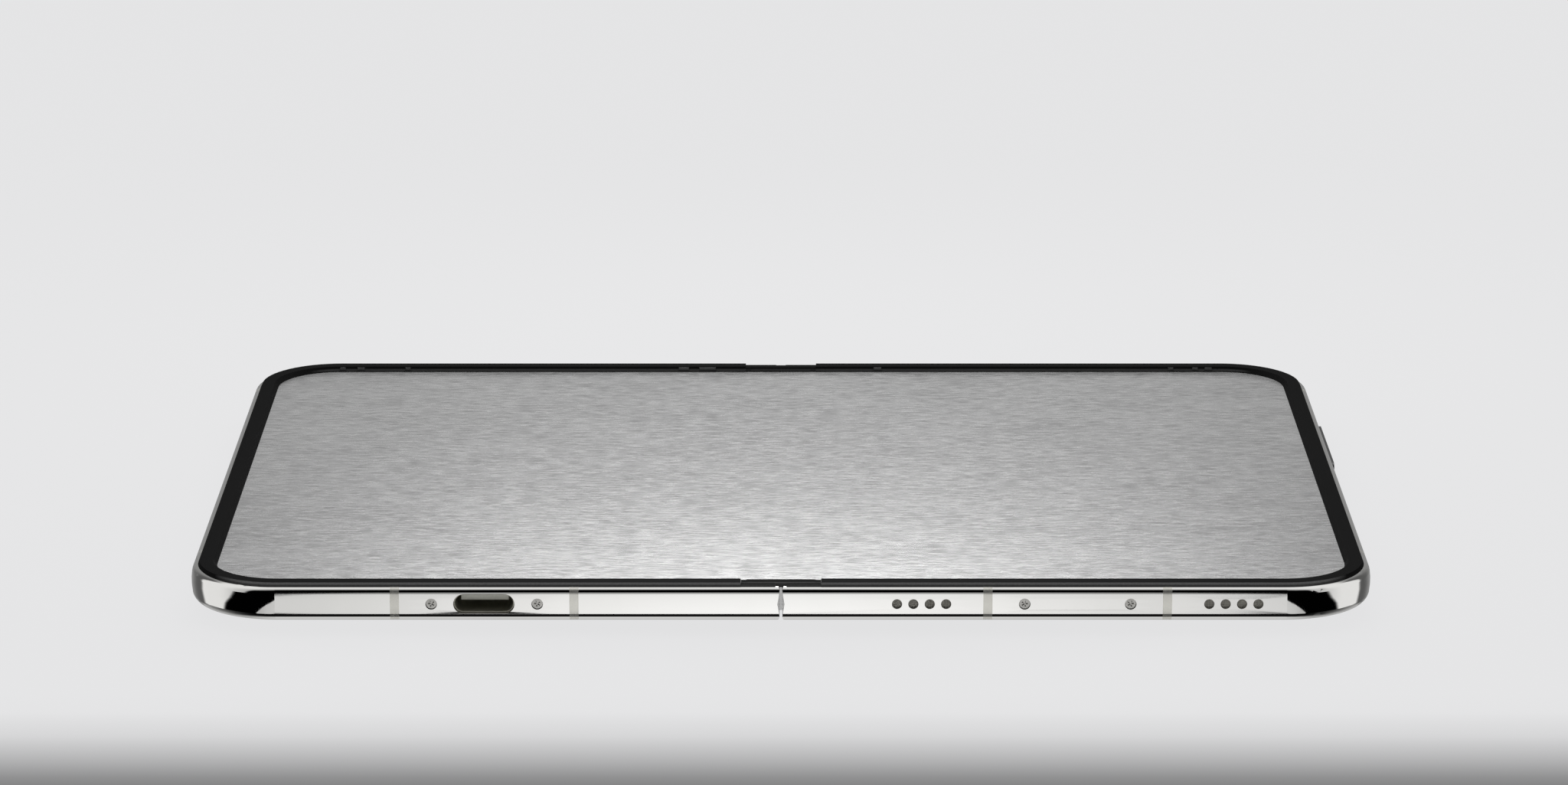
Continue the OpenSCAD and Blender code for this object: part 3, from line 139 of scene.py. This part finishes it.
def ramp(tree, fac, *stops):
    made = node(tree, "ShaderNodeValToRGB", {"Fac": fac})
    marks = made.color_ramp.elements
    while len(marks) < len(stops):
        marks.new(0.5)
    for mark, (at, colour) in zip(marks, stops):
        mark.position = at
        mark.color = colour_of(colour)
    return made.outputs["Color"]


def span(tree, fac, low, high, from_low=0.3, from_high=0.7):
    return node(tree, "ShaderNodeMapRange", {
        "Value": fac, "From Min": from_low, "From Max": from_high,
        "To Min": low, "To Max": high}).outputs["Result"]


def math_node(tree, kind, a, b=0.0):
    return node(tree, "ShaderNodeMath", {0: a, 1: b}, operation=kind).outputs[0]


def product(tree, *parts):
    made = parts[0]
    for part in parts[1:]:
        made = math_node(tree, "MULTIPLY", made, part)
    return made


def weighted(tree, a, b, share):
    """A sum in which a has the given share and b has the rest."""
    return math_node(tree, "ADD", product(tree, a, share), product(tree, b, 1 - share))


def mix_colour(tree, share, a, b):
    return node(tree, "ShaderNodeMix", {"Factor": share, 6: a, 7: b}, data_type="RGBA").outputs[2]


def bump(tree, shader, height, distance):
    made = node(tree, "ShaderNodeBump", {
        "Height": height, "Distance": distance, "Strength": 1.0})
    tree.links.new(made.outputs["Normal"], shader.inputs["Normal"])


def plain(name, dark, light, metallic, rough, grain, stretch=(1, 1, 1), depth=0.000004,
          coat=0.0, coat_rough=0.0):
    """A finish with fine grain: colour between dark and light, roughness that varies."""
    made, tree, shader = material(name)
    fine = noise(tree, place(tree, stretch), grain, 4.0)
    broad = noise(tree, place(tree), grain / 12, 2.0)
    both = weighted(tree, fine, broad, 0.6)
    tree.links.new(ramp(tree, both, (0.35, dark), (0.65, light)), shader.inputs["Base Color"])
    tree.links.new(span(tree, fine, *rough), shader.inputs["Roughness"])
    shader.inputs["Metallic"].default_value = metallic
    if coat:
        shader.inputs["Coat Weight"].default_value = coat
        shader.inputs["Coat Roughness"].default_value = coat_rough
    bump(tree, shader, fine, depth)
    return made


def polished_steel():
    """Polished steel frame with very fine polishing marks and faint smudges."""
    made, tree, shader = material("frame_steel")
    marks = noise(tree, place(tree, (1, 1, 14)), 2200, 3.0)
    smudge = noise(tree, place(tree), 60, 4.0, 0.6, 0.5)
    tree.links.new(ramp(tree, smudge, (0.3, (0.735, 0.73, 0.71)), (0.7, (0.77, 0.765, 0.75))),
                   shader.inputs["Base Color"])
    shine = math_node(tree, "ADD", span(tree, marks, 0.03, 0.05), span(tree, smudge, 0.0, 0.02))
    tree.links.new(shine, shader.inputs["Roughness"])
    shader.inputs["Metallic"].default_value = 1.0
    bump(tree, shader, marks, 0.0000004)
    return made


def brushed_sheet():
    """Steel brushed along X, with short fine streaks."""
    made, tree, shader = material("screen_steel")
    streaks = noise(tree, place(tree, (340, 2000, 1)), 1.0, 4.0, 0.6, 0.3)
    hairs = noise(tree, place(tree, (900, 5200, 1)), 1.0, 2.0, 0.5)
    cloud = noise(tree, place(tree, (60, 150, 1)), 1.0, 3.0, 0.55)
    height = weighted(tree, streaks, hairs, 0.7)
    tone = weighted(tree, height, cloud, 0.8)
    tree.links.new(ramp(tree, tone, (0.42, 0.47), (0.5, 0.61), (0.58, 0.68)),
                   shader.inputs["Base Color"])
    tree.links.new(span(tree, streaks, 0.22, 0.29), shader.inputs["Roughness"])
    shader.inputs["Metallic"].default_value = 0.78
    shader.inputs["Specular IOR Level"].default_value = 0.3
    bump(tree, shader, height, 0.000008)
    return made


def bezel_plastic():
    """Matt black plastic: jet, with a painted sheen of grey on the slope that faces the near edge,
    most of all at its top, and a painted reflection, a grey band half way up the inner slope
    of the far bezel."""
    made, tree, shader = material("bezel_black")
    grain = noise(tree, place(tree), 5200, 4.0)
    facing = node(tree, "ShaderNodeSeparateXYZ", {
        0: node(tree, "ShaderNodeTexCoord").outputs["Normal"]}).outputs
    jet = ramp(tree, grain, (0.35, 0.005), (0.65, 0.008))
    # Grey for a painted sheen on the near slope, and grey for a painted reflection band on the far
    # slope
    painted_sheen_grey = ramp(tree, grain, (0.35, 0.13), (0.65, 0.17))
    painted_reflection_grey = ramp(tree, grain, (0.35, 0.035), (0.65, 0.05))
    near_slope = product(tree, span(tree, facing["Y"], 1.0, 0.0, -0.85, -0.6),
                         span(tree, facing["Z"], 1.0, 0.0, 0.47, 0.5))
    far_slope = product(tree, span(tree, facing["Y"], 1.0, 0.0, -0.8, -0.7),
                        span(tree, facing["Z"], 0.0, 1.0, 0.52, 0.55))
    height = node(tree, "ShaderNodeSeparateXYZ", {0: place(tree)}).outputs["Z"]
    upper = span(tree, height, 0.4, 1.0, 6.9 * MM, 6.98 * MM)
    middle = product(tree, span(tree, height, 0.0, 1.0, 6.54 * MM, 6.62 * MM),
                     span(tree, height, 1.0, 0.0, 6.84 * MM, 6.92 * MM))
    # The painted sheen and the painted reflection band are laid over the jet black by the slope
    # masks
    colour = mix_colour(tree, product(tree, near_slope, upper), jet, painted_sheen_grey)
    colour = mix_colour(tree, product(tree, far_slope, middle), colour, painted_reflection_grey)
    tree.links.new(colour, shader.inputs["Base Color"])
    tree.links.new(span(tree, grain, 0.5, 0.6), shader.inputs["Roughness"])
    shader.inputs["Specular IOR Level"].default_value = 0.01
    bump(tree, shader, grain, 0.0000012)
    return made


PAINTED_PITCH = 0.21 * MM


def woven():
    """Fine woven wire: two sets of wires that cross."""
    made, tree, shader = material("mesh_metal")
    where = node(tree, "ShaderNodeTexCoord").outputs["Object"]
    parts = node(tree, "ShaderNodeSeparateXYZ", {0: where}).outputs
    waves = []
    for part in (parts["X"], parts["Z"]):
        wave = math_node(tree, "SINE", product(tree, part, math.pi / PAINTED_PITCH))
        waves.append(math_node(tree, "ABSOLUTE", wave))
    wires = math_node(tree, "MAXIMUM", *waves)
    tree.links.new(ramp(tree, wires, (0.55, (0.16, 0.155, 0.13)), (0.85, (0.62, 0.6, 0.54))),
                   shader.inputs["Base Color"])
    shader.inputs["Metallic"].default_value = 0.8
    shader.inputs["Roughness"].default_value = 0.42
    bump(tree, shader, wires, 0.00003)
    return made


def circuit_board():
    """Solder mask over fine straight tracks."""
    made, tree, shader = material("board_green")
    blocks = node(tree, "ShaderNodeTexVoronoi", {
        "Vector": place(tree), "Scale": 700.0}, distance="MANHATTAN")
    fine = noise(tree, place(tree), 3000)
    tree.links.new(ramp(tree, blocks.outputs["Distance"], (0.25, (0.01, 0.09, 0.05)),
                        (0.55, (0.02, 0.16, 0.08))), shader.inputs["Base Color"])
    tree.links.new(span(tree, fine, 0.3, 0.45), shader.inputs["Roughness"])
    bump(tree, shader, blocks.outputs["Distance"], 0.00002)
    return made


def glass_over(name, colour, deep):
    """Dark glass with a smooth coat over a deeper colour."""
    made, tree, shader = material(name)
    haze = noise(tree, place(tree), 45, 3.0, 0.5)
    tree.links.new(ramp(tree, haze, (0.3, deep), (0.7, colour)), shader.inputs["Base Color"])
    tree.links.new(span(tree, haze, 0.05, 0.08), shader.inputs["Roughness"])
    shader.inputs["Specular IOR Level"].default_value = 0.6
    shader.inputs["Coat Weight"].default_value = 1.0
    shader.inputs["Coat Roughness"].default_value = 0.02
    return made


finishes = {base_name(made): made for made in (
    polished_steel(),
    plain("antenna_plastic", (0.64, 0.63, 0.58), (0.7, 0.69, 0.64), 0.75, (0.16, 0.22), 2500,
          depth=0.000001),
    plain("alloy", 0.42, 0.52, 1.0, (0.35, 0.5), 1200),
    bezel_plastic(),
    plain("stiffener", 0.2, 0.27, 1.0, (0.35, 0.45), 1500, (1, 8, 1)),
    brushed_sheet(),
    plain("back_glass", (0.56, 0.56, 0.55), (0.62, 0.62, 0.61), 0.0, (0.28, 0.36), 4200,
          depth=0.000001, coat=0.4, coat_rough=0.25),
    plain("deck_metal", 0.5, 0.58, 1.0, (0.24, 0.32), 3000, (1, 12, 1)),
    plain("ring_metal", 0.45, 0.56, 1.0, (0.14, 0.22), 3200),
    glass_over("lens_glass", (0.012, 0.014, 0.02), (0.004, 0.004, 0.007)),
    plain("camera_black", 0.008, 0.016, 0.1, (0.35, 0.5), 2600),
    circuit_board(),
    plain("shield_metal", 0.5, 0.6, 1.0, (0.3, 0.4), 1600, (1, 6, 1)),
    plain("cell_wrap", 0.035, 0.06, 0.0, (0.4, 0.55), 1400, (1, 3, 1)),
    plain("module_black", 0.015, 0.03, 0.0, (0.42, 0.58), 2200),
    woven(),
    plain("screw_steel", (0.6, 0.59, 0.56), (0.7, 0.69, 0.66), 1.0, (0.3, 0.4), 5200),
    # Near-white matte, not metal: a painted highlight laid over the frame's rounded steel edges
    plain("satin_edge", (0.87, 0.865, 0.85), (0.92, 0.915, 0.9), 0.0, (0.4, 0.5), 4200),
    plain("key_metal", 0.1, 0.14, 1.0, (0.18, 0.26), 4200, (1, 1, 8)),
    plain("switch_gold", (0.5, 0.36, 0.15), (0.62, 0.46, 0.2), 1.0, (0.25, 0.35), 3000),
    plain("bracket_steel", 0.4, 0.52, 1.0, (0.25, 0.38), 2600, (6, 1, 1)),
    plain("magnet", 0.42, 0.5, 1.0, (0.2, 0.3), 1800),
    glass_over("outer_glass", (0.006, 0.006, 0.008), (0.003, 0.003, 0.004)),
    plain("panel_dark", (0.01, 0.012, 0.02), (0.016, 0.018, 0.03), 0.0, (0.2, 0.3), 2400),
    plain("spine_metal", 0.5, 0.6, 1.0, (0.2, 0.3), 2400, (8, 1, 1)),
    plain("hinge_steel", 0.34, 0.46, 1.0, (0.28, 0.4), 2600, (1, 6, 1)),
    plain("washer_steel", (0.44, 0.4, 0.3), (0.56, 0.5, 0.38), 1.0, (0.25, 0.35), 2400),
    plain("gear_steel", 0.38, 0.5, 1.0, (0.22, 0.34), 3000),
    plain("flex_amber", (0.3, 0.13, 0.03), (0.42, 0.2, 0.05), 0.0, (0.3, 0.45), 1800, (1, 8, 1),
          coat=0.4, coat_rough=0.2),
)}
own_finish = {
    "usb_tongue": plain("tongue_grey", (0.52, 0.52, 0.47), (0.62, 0.62, 0.56), 1.0, (0.34, 0.42),
                        2600),
    "usb_shell": plain("port_steel", (0.6, 0.59, 0.5), (0.7, 0.69, 0.6), 1.0, (0.45, 0.55), 2200),
}
for name, item in nodes.items():
    for slot in item.material_slots:
        slot.material = own_finish.get(name, finishes[base_name(slot.material)])


# Mesh helpers
def mesh_object(name, points, faces, finish, smooth=True):
    mesh = bpy.data.meshes.new(name)
    mesh.from_pydata(points, [], faces)
    mesh.update()
    for face in mesh.polygons:
        face.use_smooth = smooth
    mesh.materials.append(finishes[finish])
    made = bpy.data.objects.new(name, mesh)
    scene.collection.objects.link(made)
    return made


def extruded_strip(name, section, stations, finish):
    """Sweeps a closed section in Y and Z along X through the given stations, with end faces."""
    points = [(x, y, z) for x in stations for y, z in section]
    faces = []
    count = len(section)
    for k in range(len(stations) - 1):
        for i in range(count):
            j = (i + 1) % count
            faces.append((k * count + i, k * count + j, (k + 1) * count + j, (k + 1) * count + i))
    faces.append(tuple(range(count)))
    last = (len(stations) - 1) * count
    faces.append(tuple(last + i for i in reversed(range(count))))
    made = mesh_object(name, points, faces, finish, smooth=False)
    work = bmesh.new()
    work.from_mesh(made.data)
    bmesh.ops.recalc_face_normals(work, faces=work.faces)
    work.to_mesh(made.data)
    work.free()
    return made


def steps(low, high, count):
    return [low + (high - low) * i / count for i in range(count + 1)]


# Soft pieces that cross the hinge, in halves that meet at the middle plane
FLEX_THICK = 0.15 * MM
SIDES = ((1, "right"), (-1, "left"))
ENDS = (("near", -1), ("far", 1))


def across_hinge(name, section, low_x, high_x, count, finish, replaced):
    """Two halves of a soft piece with one section in Y and Z, each running straight from the spine
    to its half of the phone."""
    for sign, side in SIDES:
        made = extruded_strip(f"{name}_{side}", section,
                              [sign * x for x in steps(low_x, high_x, count)], finish)
        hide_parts(replaced)
        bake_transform(made)


def flat_section(low, high, low_z):
    return [(low.y, low_z), (high.y, low_z), (high.y, high.z), (low.y, high.z)]


low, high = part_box("screen_fold")
across_hinge("fold_sheet", flat_section(low, high, low.z), 0, high.x, 32, "screen_steel",
             "screen_fold")
low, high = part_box("hinge_flex")
across_hinge("flex_strip", flat_section(low, high, high.z - FLEX_THICK), 0, high.x, 24,
             "flex_amber", "hinge_flex")

# The caps at both ends of the hinge, each with a lower step beside the bezels
low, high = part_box("hinge_caps")
CAP_END = 4.75 * MM
CAP_REACH = 5.58 * MM
CAP_STEP = 0.05 * MM
CAP_LOW = low.z
CAP_OUT = -low.y
CAP_TOP = high.z
CAP_IN = min(-v.co.y for v in nodes["hinge_caps"].data.vertices if v.co.y < 0)


def cap_section(sign_y, step):
    return [(sign_y * y, z) for y, z in (
        (CAP_OUT, CAP_LOW + 0.12 * MM), (CAP_OUT - 0.25 * MM, CAP_TOP - step),
        (CAP_IN + 0.55 * MM + step, CAP_TOP - step), (CAP_IN + step, CAP_LOW),
        (CAP_OUT - 0.1 * MM, CAP_LOW))]


for end, sign_y in ENDS:
    across_hinge(f"fold_cap_{end}", cap_section(sign_y, 0), 0, CAP_END, 24, "bezel_black",
                 "hinge_caps")
    across_hinge(f"fold_cap_step_{end}", cap_section(sign_y, CAP_STEP), CAP_END, CAP_REACH, 6,
                 "bezel_black", "hinge_caps")

# Woven gauze a little way inside each sound hole
HOLE_R = 0.7 * MM
HOLE_PITCH = 2.27 * MM
PORT_Z = BACK_Z + 2.65 * MM
WIRE_PITCH = 0.19 * MM
WIRE_HEIGHT = 0.05 * MM
GAUZE_DEPTH = 0.55 * MM
GAUZE_CELLS = 24
EDGE_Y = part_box("right_frame")[1].y


def gauze_disc(name, x, sign_y, body):
    """Round patch of crossing wires, facing out of the hole at the near or the far edge."""
    points = []
    for i in range(GAUZE_CELLS + 1):
        for j in range(GAUZE_CELLS + 1):
            u = 2 * i / GAUZE_CELLS - 1
            v = 2 * j / GAUZE_CELLS - 1
            across = HOLE_R * u * math.sqrt(1 - v * v / 2)
            height = HOLE_R * v * math.sqrt(1 - u * u / 2)
            wires = (abs(math.sin(math.pi * across / WIRE_PITCH)),
                     abs(math.sin(math.pi * height / WIRE_PITCH)))
            depth = GAUZE_DEPTH - WIRE_HEIGHT * max(wires)
            points.append((x + across, sign_y * (EDGE_Y - depth), PORT_Z + height))
    row = GAUZE_CELLS + 1
    faces = [(i * row + j, (i + 1) * row + j, (i + 1) * row + j + 1, i * row + j + 1)
             for i in range(GAUZE_CELLS) for j in range(GAUZE_CELLS)]
    if sign_y > 0:
        faces = [tuple(reversed(face)) for face in faces]
    made = mesh_object(name, points, faces, "mesh_metal")
    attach(made, body)


for group, middle, sign_y, body in (
        ("speaker", 62.8 * MM, -1, "right_half"), ("mic", 19.5 * MM, -1, "right_half"),
        ("rear_mic", 19.5 * MM, 1, "right_half"), ("earpiece", -62.8 * MM, 1, "left_half")):
    for k in range(4):
        gauze_disc(f"gauze_{group}_{k + 1}", middle + (k - 1.5) * HOLE_PITCH, sign_y, body)

# At each end of the hinge, a bright strip on the spine that fills the gap between the frames,
# and a near-white matte cover on the rounded frame edges beside it, a painted highlight for the
# steel's bright reflection
STRIP_HALF = 0.19 * MM
END_CAP_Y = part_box("spine_end_caps")[1].y
STRIP_INNER_Y = END_CAP_Y + 0.01 * MM
STRIP_OUTER_Y = END_CAP_Y + 0.3 * MM
STRIP_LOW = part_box("spine_shell")[0].z + 0.1 * MM
STRIP_INNER_TOP = 6.3 * MM
STRIP_OUTER_TOP = 6.2 * MM
LINED_X = 0.58 * MM
LINED_Y = EDGE_Y - 0.5 * MM
LINED_LOW = 2.1 * MM
LINED_TOP = 6.6 * MM
LINING_PROUD = 0.006 * MM


def lined_face(mesh, face, sign_y):
    """Whether a face of a frame lies on the rounded edge beside the gap."""
    spots = [mesh.vertices[k].co for k in face.vertices]
    beside = all(abs(spot.x) < LINED_X and sign_y * spot.y > LINED_Y for spot in spots)
    return beside and LINED_LOW < face.center.z < LINED_TOP


for end, sign_y in ENDS:
    section = [(sign_y * STRIP_INNER_Y, STRIP_LOW), (sign_y * STRIP_OUTER_Y, STRIP_LOW),
               (sign_y * STRIP_OUTER_Y, STRIP_OUTER_TOP), (sign_y * STRIP_INNER_Y, STRIP_INNER_TOP)]
    strip = extruded_strip(f"gap_strip_{end}", section, steps(-STRIP_HALF, STRIP_HALF, 4),
                           "spine_metal")
    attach(strip, "spine")
    for sign, side in SIDES:
        source = nodes[f"{side}_frame"].data
        corners = {}
        patches = []
        for face in source.polygons:
            if lined_face(source, face, sign_y):
                patches.append([corners.setdefault(k, len(corners)) for k in face.vertices])
        push = Vector((-LINING_PROUD * sign, LINING_PROUD * sign_y, 0))
        points = [source.vertices[k].co + push for k in corners]
        # The cover is a painted highlight that stands for the steel's reflection on these faces
        highlight_cover = mesh_object(f"edge_lining_{side}_{end}", points, patches, "satin_edge")
        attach(highlight_cover, f"{side}_half")

# Small snaps that show on the inner slope of the far bezels
BEZEL_IN = EDGE_Y - 3.65 * MM
BEZEL_TOP = BACK_Z + 5.42 * MM
SNAP_SECTION = [(BEZEL_IN + y * MM, BEZEL_TOP - down * MM) for y, down in (
    (0.02, 0.75), (0.1, 0.42), (0.34, 0.16), (0.6, 0.1), (0.5, 0.75))]
SNAP_MIDDLE_AND_WIDTH_MM = ((-69.9, 0.9), (-67.0, 1.1), (-59.5, 0.8), (-15.5, 1.6), (-11.7, 2.6),
                            (15.4, 1.2), (62.2, 0.8), (66.1, 0.9), (68.2, 1.1))
for k, (x, wide) in enumerate(SNAP_MIDDLE_AND_WIDTH_MM):
    snap = extruded_strip(f"bezel_snap_{k + 1}", SNAP_SECTION,
                          [(x - wide / 2) * MM, (x + wide / 2) * MM], "camera_black")
    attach(snap, "right_half" if x > 0 else "left_half")

# Floor and backdrop, pale but for a dark band in front of the phone, as in the photograph
FLOOR_GREY = 0.79
BLUE_TINT = 1.01
FLOOR_HALF = 6.0
BAND_NEAR_Y = -0.3
BAND_FAR_Y = -0.086


def stage_material():
    made, tree, shader = material("floor")
    where = node(tree, "ShaderNodeTexCoord").outputs["Object"]
    depth = node(tree, "ShaderNodeSeparateXYZ", {0: where}).outputs["Y"]
    shade = ramp(tree, span(tree, depth, 0, 1, BAND_NEAR_Y, BAND_FAR_Y), (0.19, FLOOR_GREY),
                 (0.47, 0.6), (0.7, 0.25), (0.818, 0.2), (0.844, 0.285), (0.879, 0.475),
                 (0.921, 0.68), (0.965, 0.78), (1.0, FLOOR_GREY))
    tint = node(tree, "ShaderNodeMix", {"Factor": 1.0}, data_type="RGBA", blend_type="MULTIPLY")
    tree.links.new(shade, tint.inputs[6])
    tint.inputs[7].default_value = (1.0, 1.0, BLUE_TINT, 1.0)
    tree.links.new(tint.outputs[2], shader.inputs["Base Color"])
    shader.inputs["Roughness"].default_value = 0.9
    shader.inputs["Specular IOR Level"].default_value = 0.1
    glow = node(tree, "ShaderNodeEmission", {"Color": tint.outputs[2], "Strength": 1.0})
    seen = node(tree, "ShaderNodeLightPath").outputs["Is Camera Ray"]
    share = product(tree, seen, 0.95)
    mixed = node(tree, "ShaderNodeMixShader", {0: share, 1: shader.outputs[0], 2: glow.outputs[0]})
    # From below, the camera looks through the floor to the back of the phone
    below = product(tree, seen, node(tree, "ShaderNodeNewGeometry").outputs["Backfacing"])
    clear = node(tree, "ShaderNodeBsdfTransparent")
    mixed = node(tree, "ShaderNodeMixShader", {0: below, 1: mixed.outputs[0], 2: clear.outputs[0]})
    tree.links.new(mixed.outputs[0], tree.nodes["Material Output"].inputs["Surface"])
    return made


floor_mesh = bpy.data.meshes.new("floor")
floor_mesh.from_pydata([(-FLOOR_HALF, -FLOOR_HALF, 0), (FLOOR_HALF, -FLOOR_HALF, 0),
                        (FLOOR_HALF, FLOOR_HALF, 0), (-FLOOR_HALF, FLOOR_HALF, 0)], [],
                       [(0, 1, 2, 3)])
floor_mesh.materials.append(stage_material())
floor = bpy.data.objects.new("floor", floor_mesh)
scene.collection.objects.link(floor)
floor.visible_glossy = False


# World: a studio of soft white walls, with a black flag and a lit panel on the near side.
# Azimuth is counted from -Y to either side, elevation from the horizon, both in degrees.
PANEL_DEGREES = 35.0
SCREEN_GAMMA = 2.2
STEEL_SHARE = 0.74


def studio():
    world = bpy.data.worlds.new("studio")
    scene.world = world
    world.use_nodes = True
    tree = world.node_tree
    tree.nodes.clear()
    way = node(tree, "ShaderNodeTexCoord").outputs["Generated"]
    x, y, z = node(tree, "ShaderNodeSeparateXYZ", {0: way}).outputs
    up = math_node(tree, "DEGREES", math_node(tree, "ARCSINE", z))
    side = math_node(tree, "DEGREES", math_node(
        tree, "ARCTAN2", math_node(tree, "ABSOLUTE", x), product(tree, y, -1.0)))

    def rise(value, low, high):
        return node(tree, "ShaderNodeMapRange", {
            "Value": value, "From Min": low, "From Max": high, "To Min": 0.0, "To Max": 1.0},
            interpolation_type="SMOOTHSTEP").outputs[0]

    def times(*parts):
        return product(tree, *parts)

    def plus(a, b):
        return math_node(tree, "ADD", a, b)

    def minus(a, b):
        return math_node(tree, "SUBTRACT", a, b)

    def over(base, share, value):
        """Lays a value over the base, by the share given."""
        return plus(base, times(minus(value, base), share))

    # Values are brightness as seen, 0 to 1, until the last step
    below = math_node(tree, "MAXIMUM", times(plus(up, -8.0), -1.0), 0.0)
    edge = minus(side, times(below, 1.08))
    walls = plus(0.64, times(rise(side, 30.0, 85.0), 0.22))
    walls = over(walls, rise(up, 70.0, 90.0), 0.8)
    # A grey stretch round the back, up to 45 degrees, darkest where it begins at the side
    stretch = times(rise(side, 113.0, 122.0), rise(up, 52.0, 38.0))
    walls = over(walls, stretch, plus(0.33, times(rise(side, 128.0, 160.0), 0.17)))
    # Black flag on the near side, wider towards the ground
    flag = times(rise(edge, 46.0, 38.0), rise(plus(up, times(side, 0.7)), 86.0, 68.0))
    light = over(walls, flag, 0.025)
    # The ground: black near the camera's side, paler round the back and straight below
    ground = plus(0.03, times(rise(side, 20.0, 160.0), 0.62))
    ground = over(ground, rise(up, -55.0, -88.0), 0.84)
    light = over(light, rise(up, -27.0, -33.0), ground)
    # The lit panel in the middle of the flag, wider towards the ground
    height = span(tree, up, 0.0, 1.0, -PANEL_DEGREES, PANEL_DEGREES)
    reach = ramp(tree, height, (0.057, 0.943), (0.1, 0.874), (0.157, 0.657), (0.207, 0.529),
                 (0.286, 0.4), (0.357, 0.303), (0.414, 0.24), (0.443, 0.1549), (0.471, 0.1531),
                 (0.5, 0.1514), (0.543, 0.1497), (0.686, 0.1471), (0.9, 0.14), (0.95, 0.13))
    inner = minus(side, times(reach, PANEL_DEGREES))
    panel = times(rise(inner, 0.03, -0.05), rise(up, -33.0, -31.0), rise(up, 31.0, 28.0))
    glow = ramp(tree, height, (0.114, 0.953), (0.357, 0.933), (0.457, 0.906), (0.5, 0.865),
                (0.543, 0.8), (0.686, 0.698), (0.857, 0.463), (1.0, 0.4))
    glow = minus(glow, times(rise(side, 0.0, 8.0), 0.18))
    glow = minus(glow, times(rise(side, 8.0, 31.0), 0.1))
    light = over(light, panel, glow)
    # From brightness as seen in the frame's steel to the light that falls on it
    light = math_node(tree, "DIVIDE", math_node(tree, "POWER", light, SCREEN_GAMMA), STEEL_SHARE)
    studio_light = node(tree, "ShaderNodeBackground", {"Strength": 1.0})
    tree.links.new(light, studio_light.inputs["Color"])
    seen = node(tree, "ShaderNodeBackground", {
        "Color": (FLOOR_GREY, FLOOR_GREY, FLOOR_GREY * BLUE_TINT, 1), "Strength": 1.0})
    is_camera = node(tree, "ShaderNodeLightPath").outputs["Is Camera Ray"]
    mixed = node(tree, "ShaderNodeMixShader", {0: is_camera, 1: studio_light.outputs[0],
                                               2: seen.outputs[0]})
    node(tree, "ShaderNodeOutputWorld", {"Surface": mixed.outputs[0]})


studio()

# Lamps
def area_lamp(name, shape, at, look_at, size, power, seen_in_metal):
    data = bpy.data.lights.new(name, "AREA")
    data.shape = shape
    data.size, data.size_y = size
    data.energy = power
    lamp = bpy.data.objects.new(name, data)
    lamp.location = at
    lamp.rotation_euler = (Vector(look_at) - Vector(at)).to_track_quat("-Z", "Y").to_euler()
    lamp.visible_camera = False
    lamp.visible_glossy = seen_in_metal
    scene.collection.objects.link(lamp)


area_lamp("top_box", "RECTANGLE", (0, 0.2, 0.9), (0, 0, 0), (0.8, 0.5), 1.6, False)
area_lamp("rear_card", "ELLIPSE", (0, 0.13, 0.142), (0, -0.04, 0.0065), (0.19, 0.11), 0.215, True)
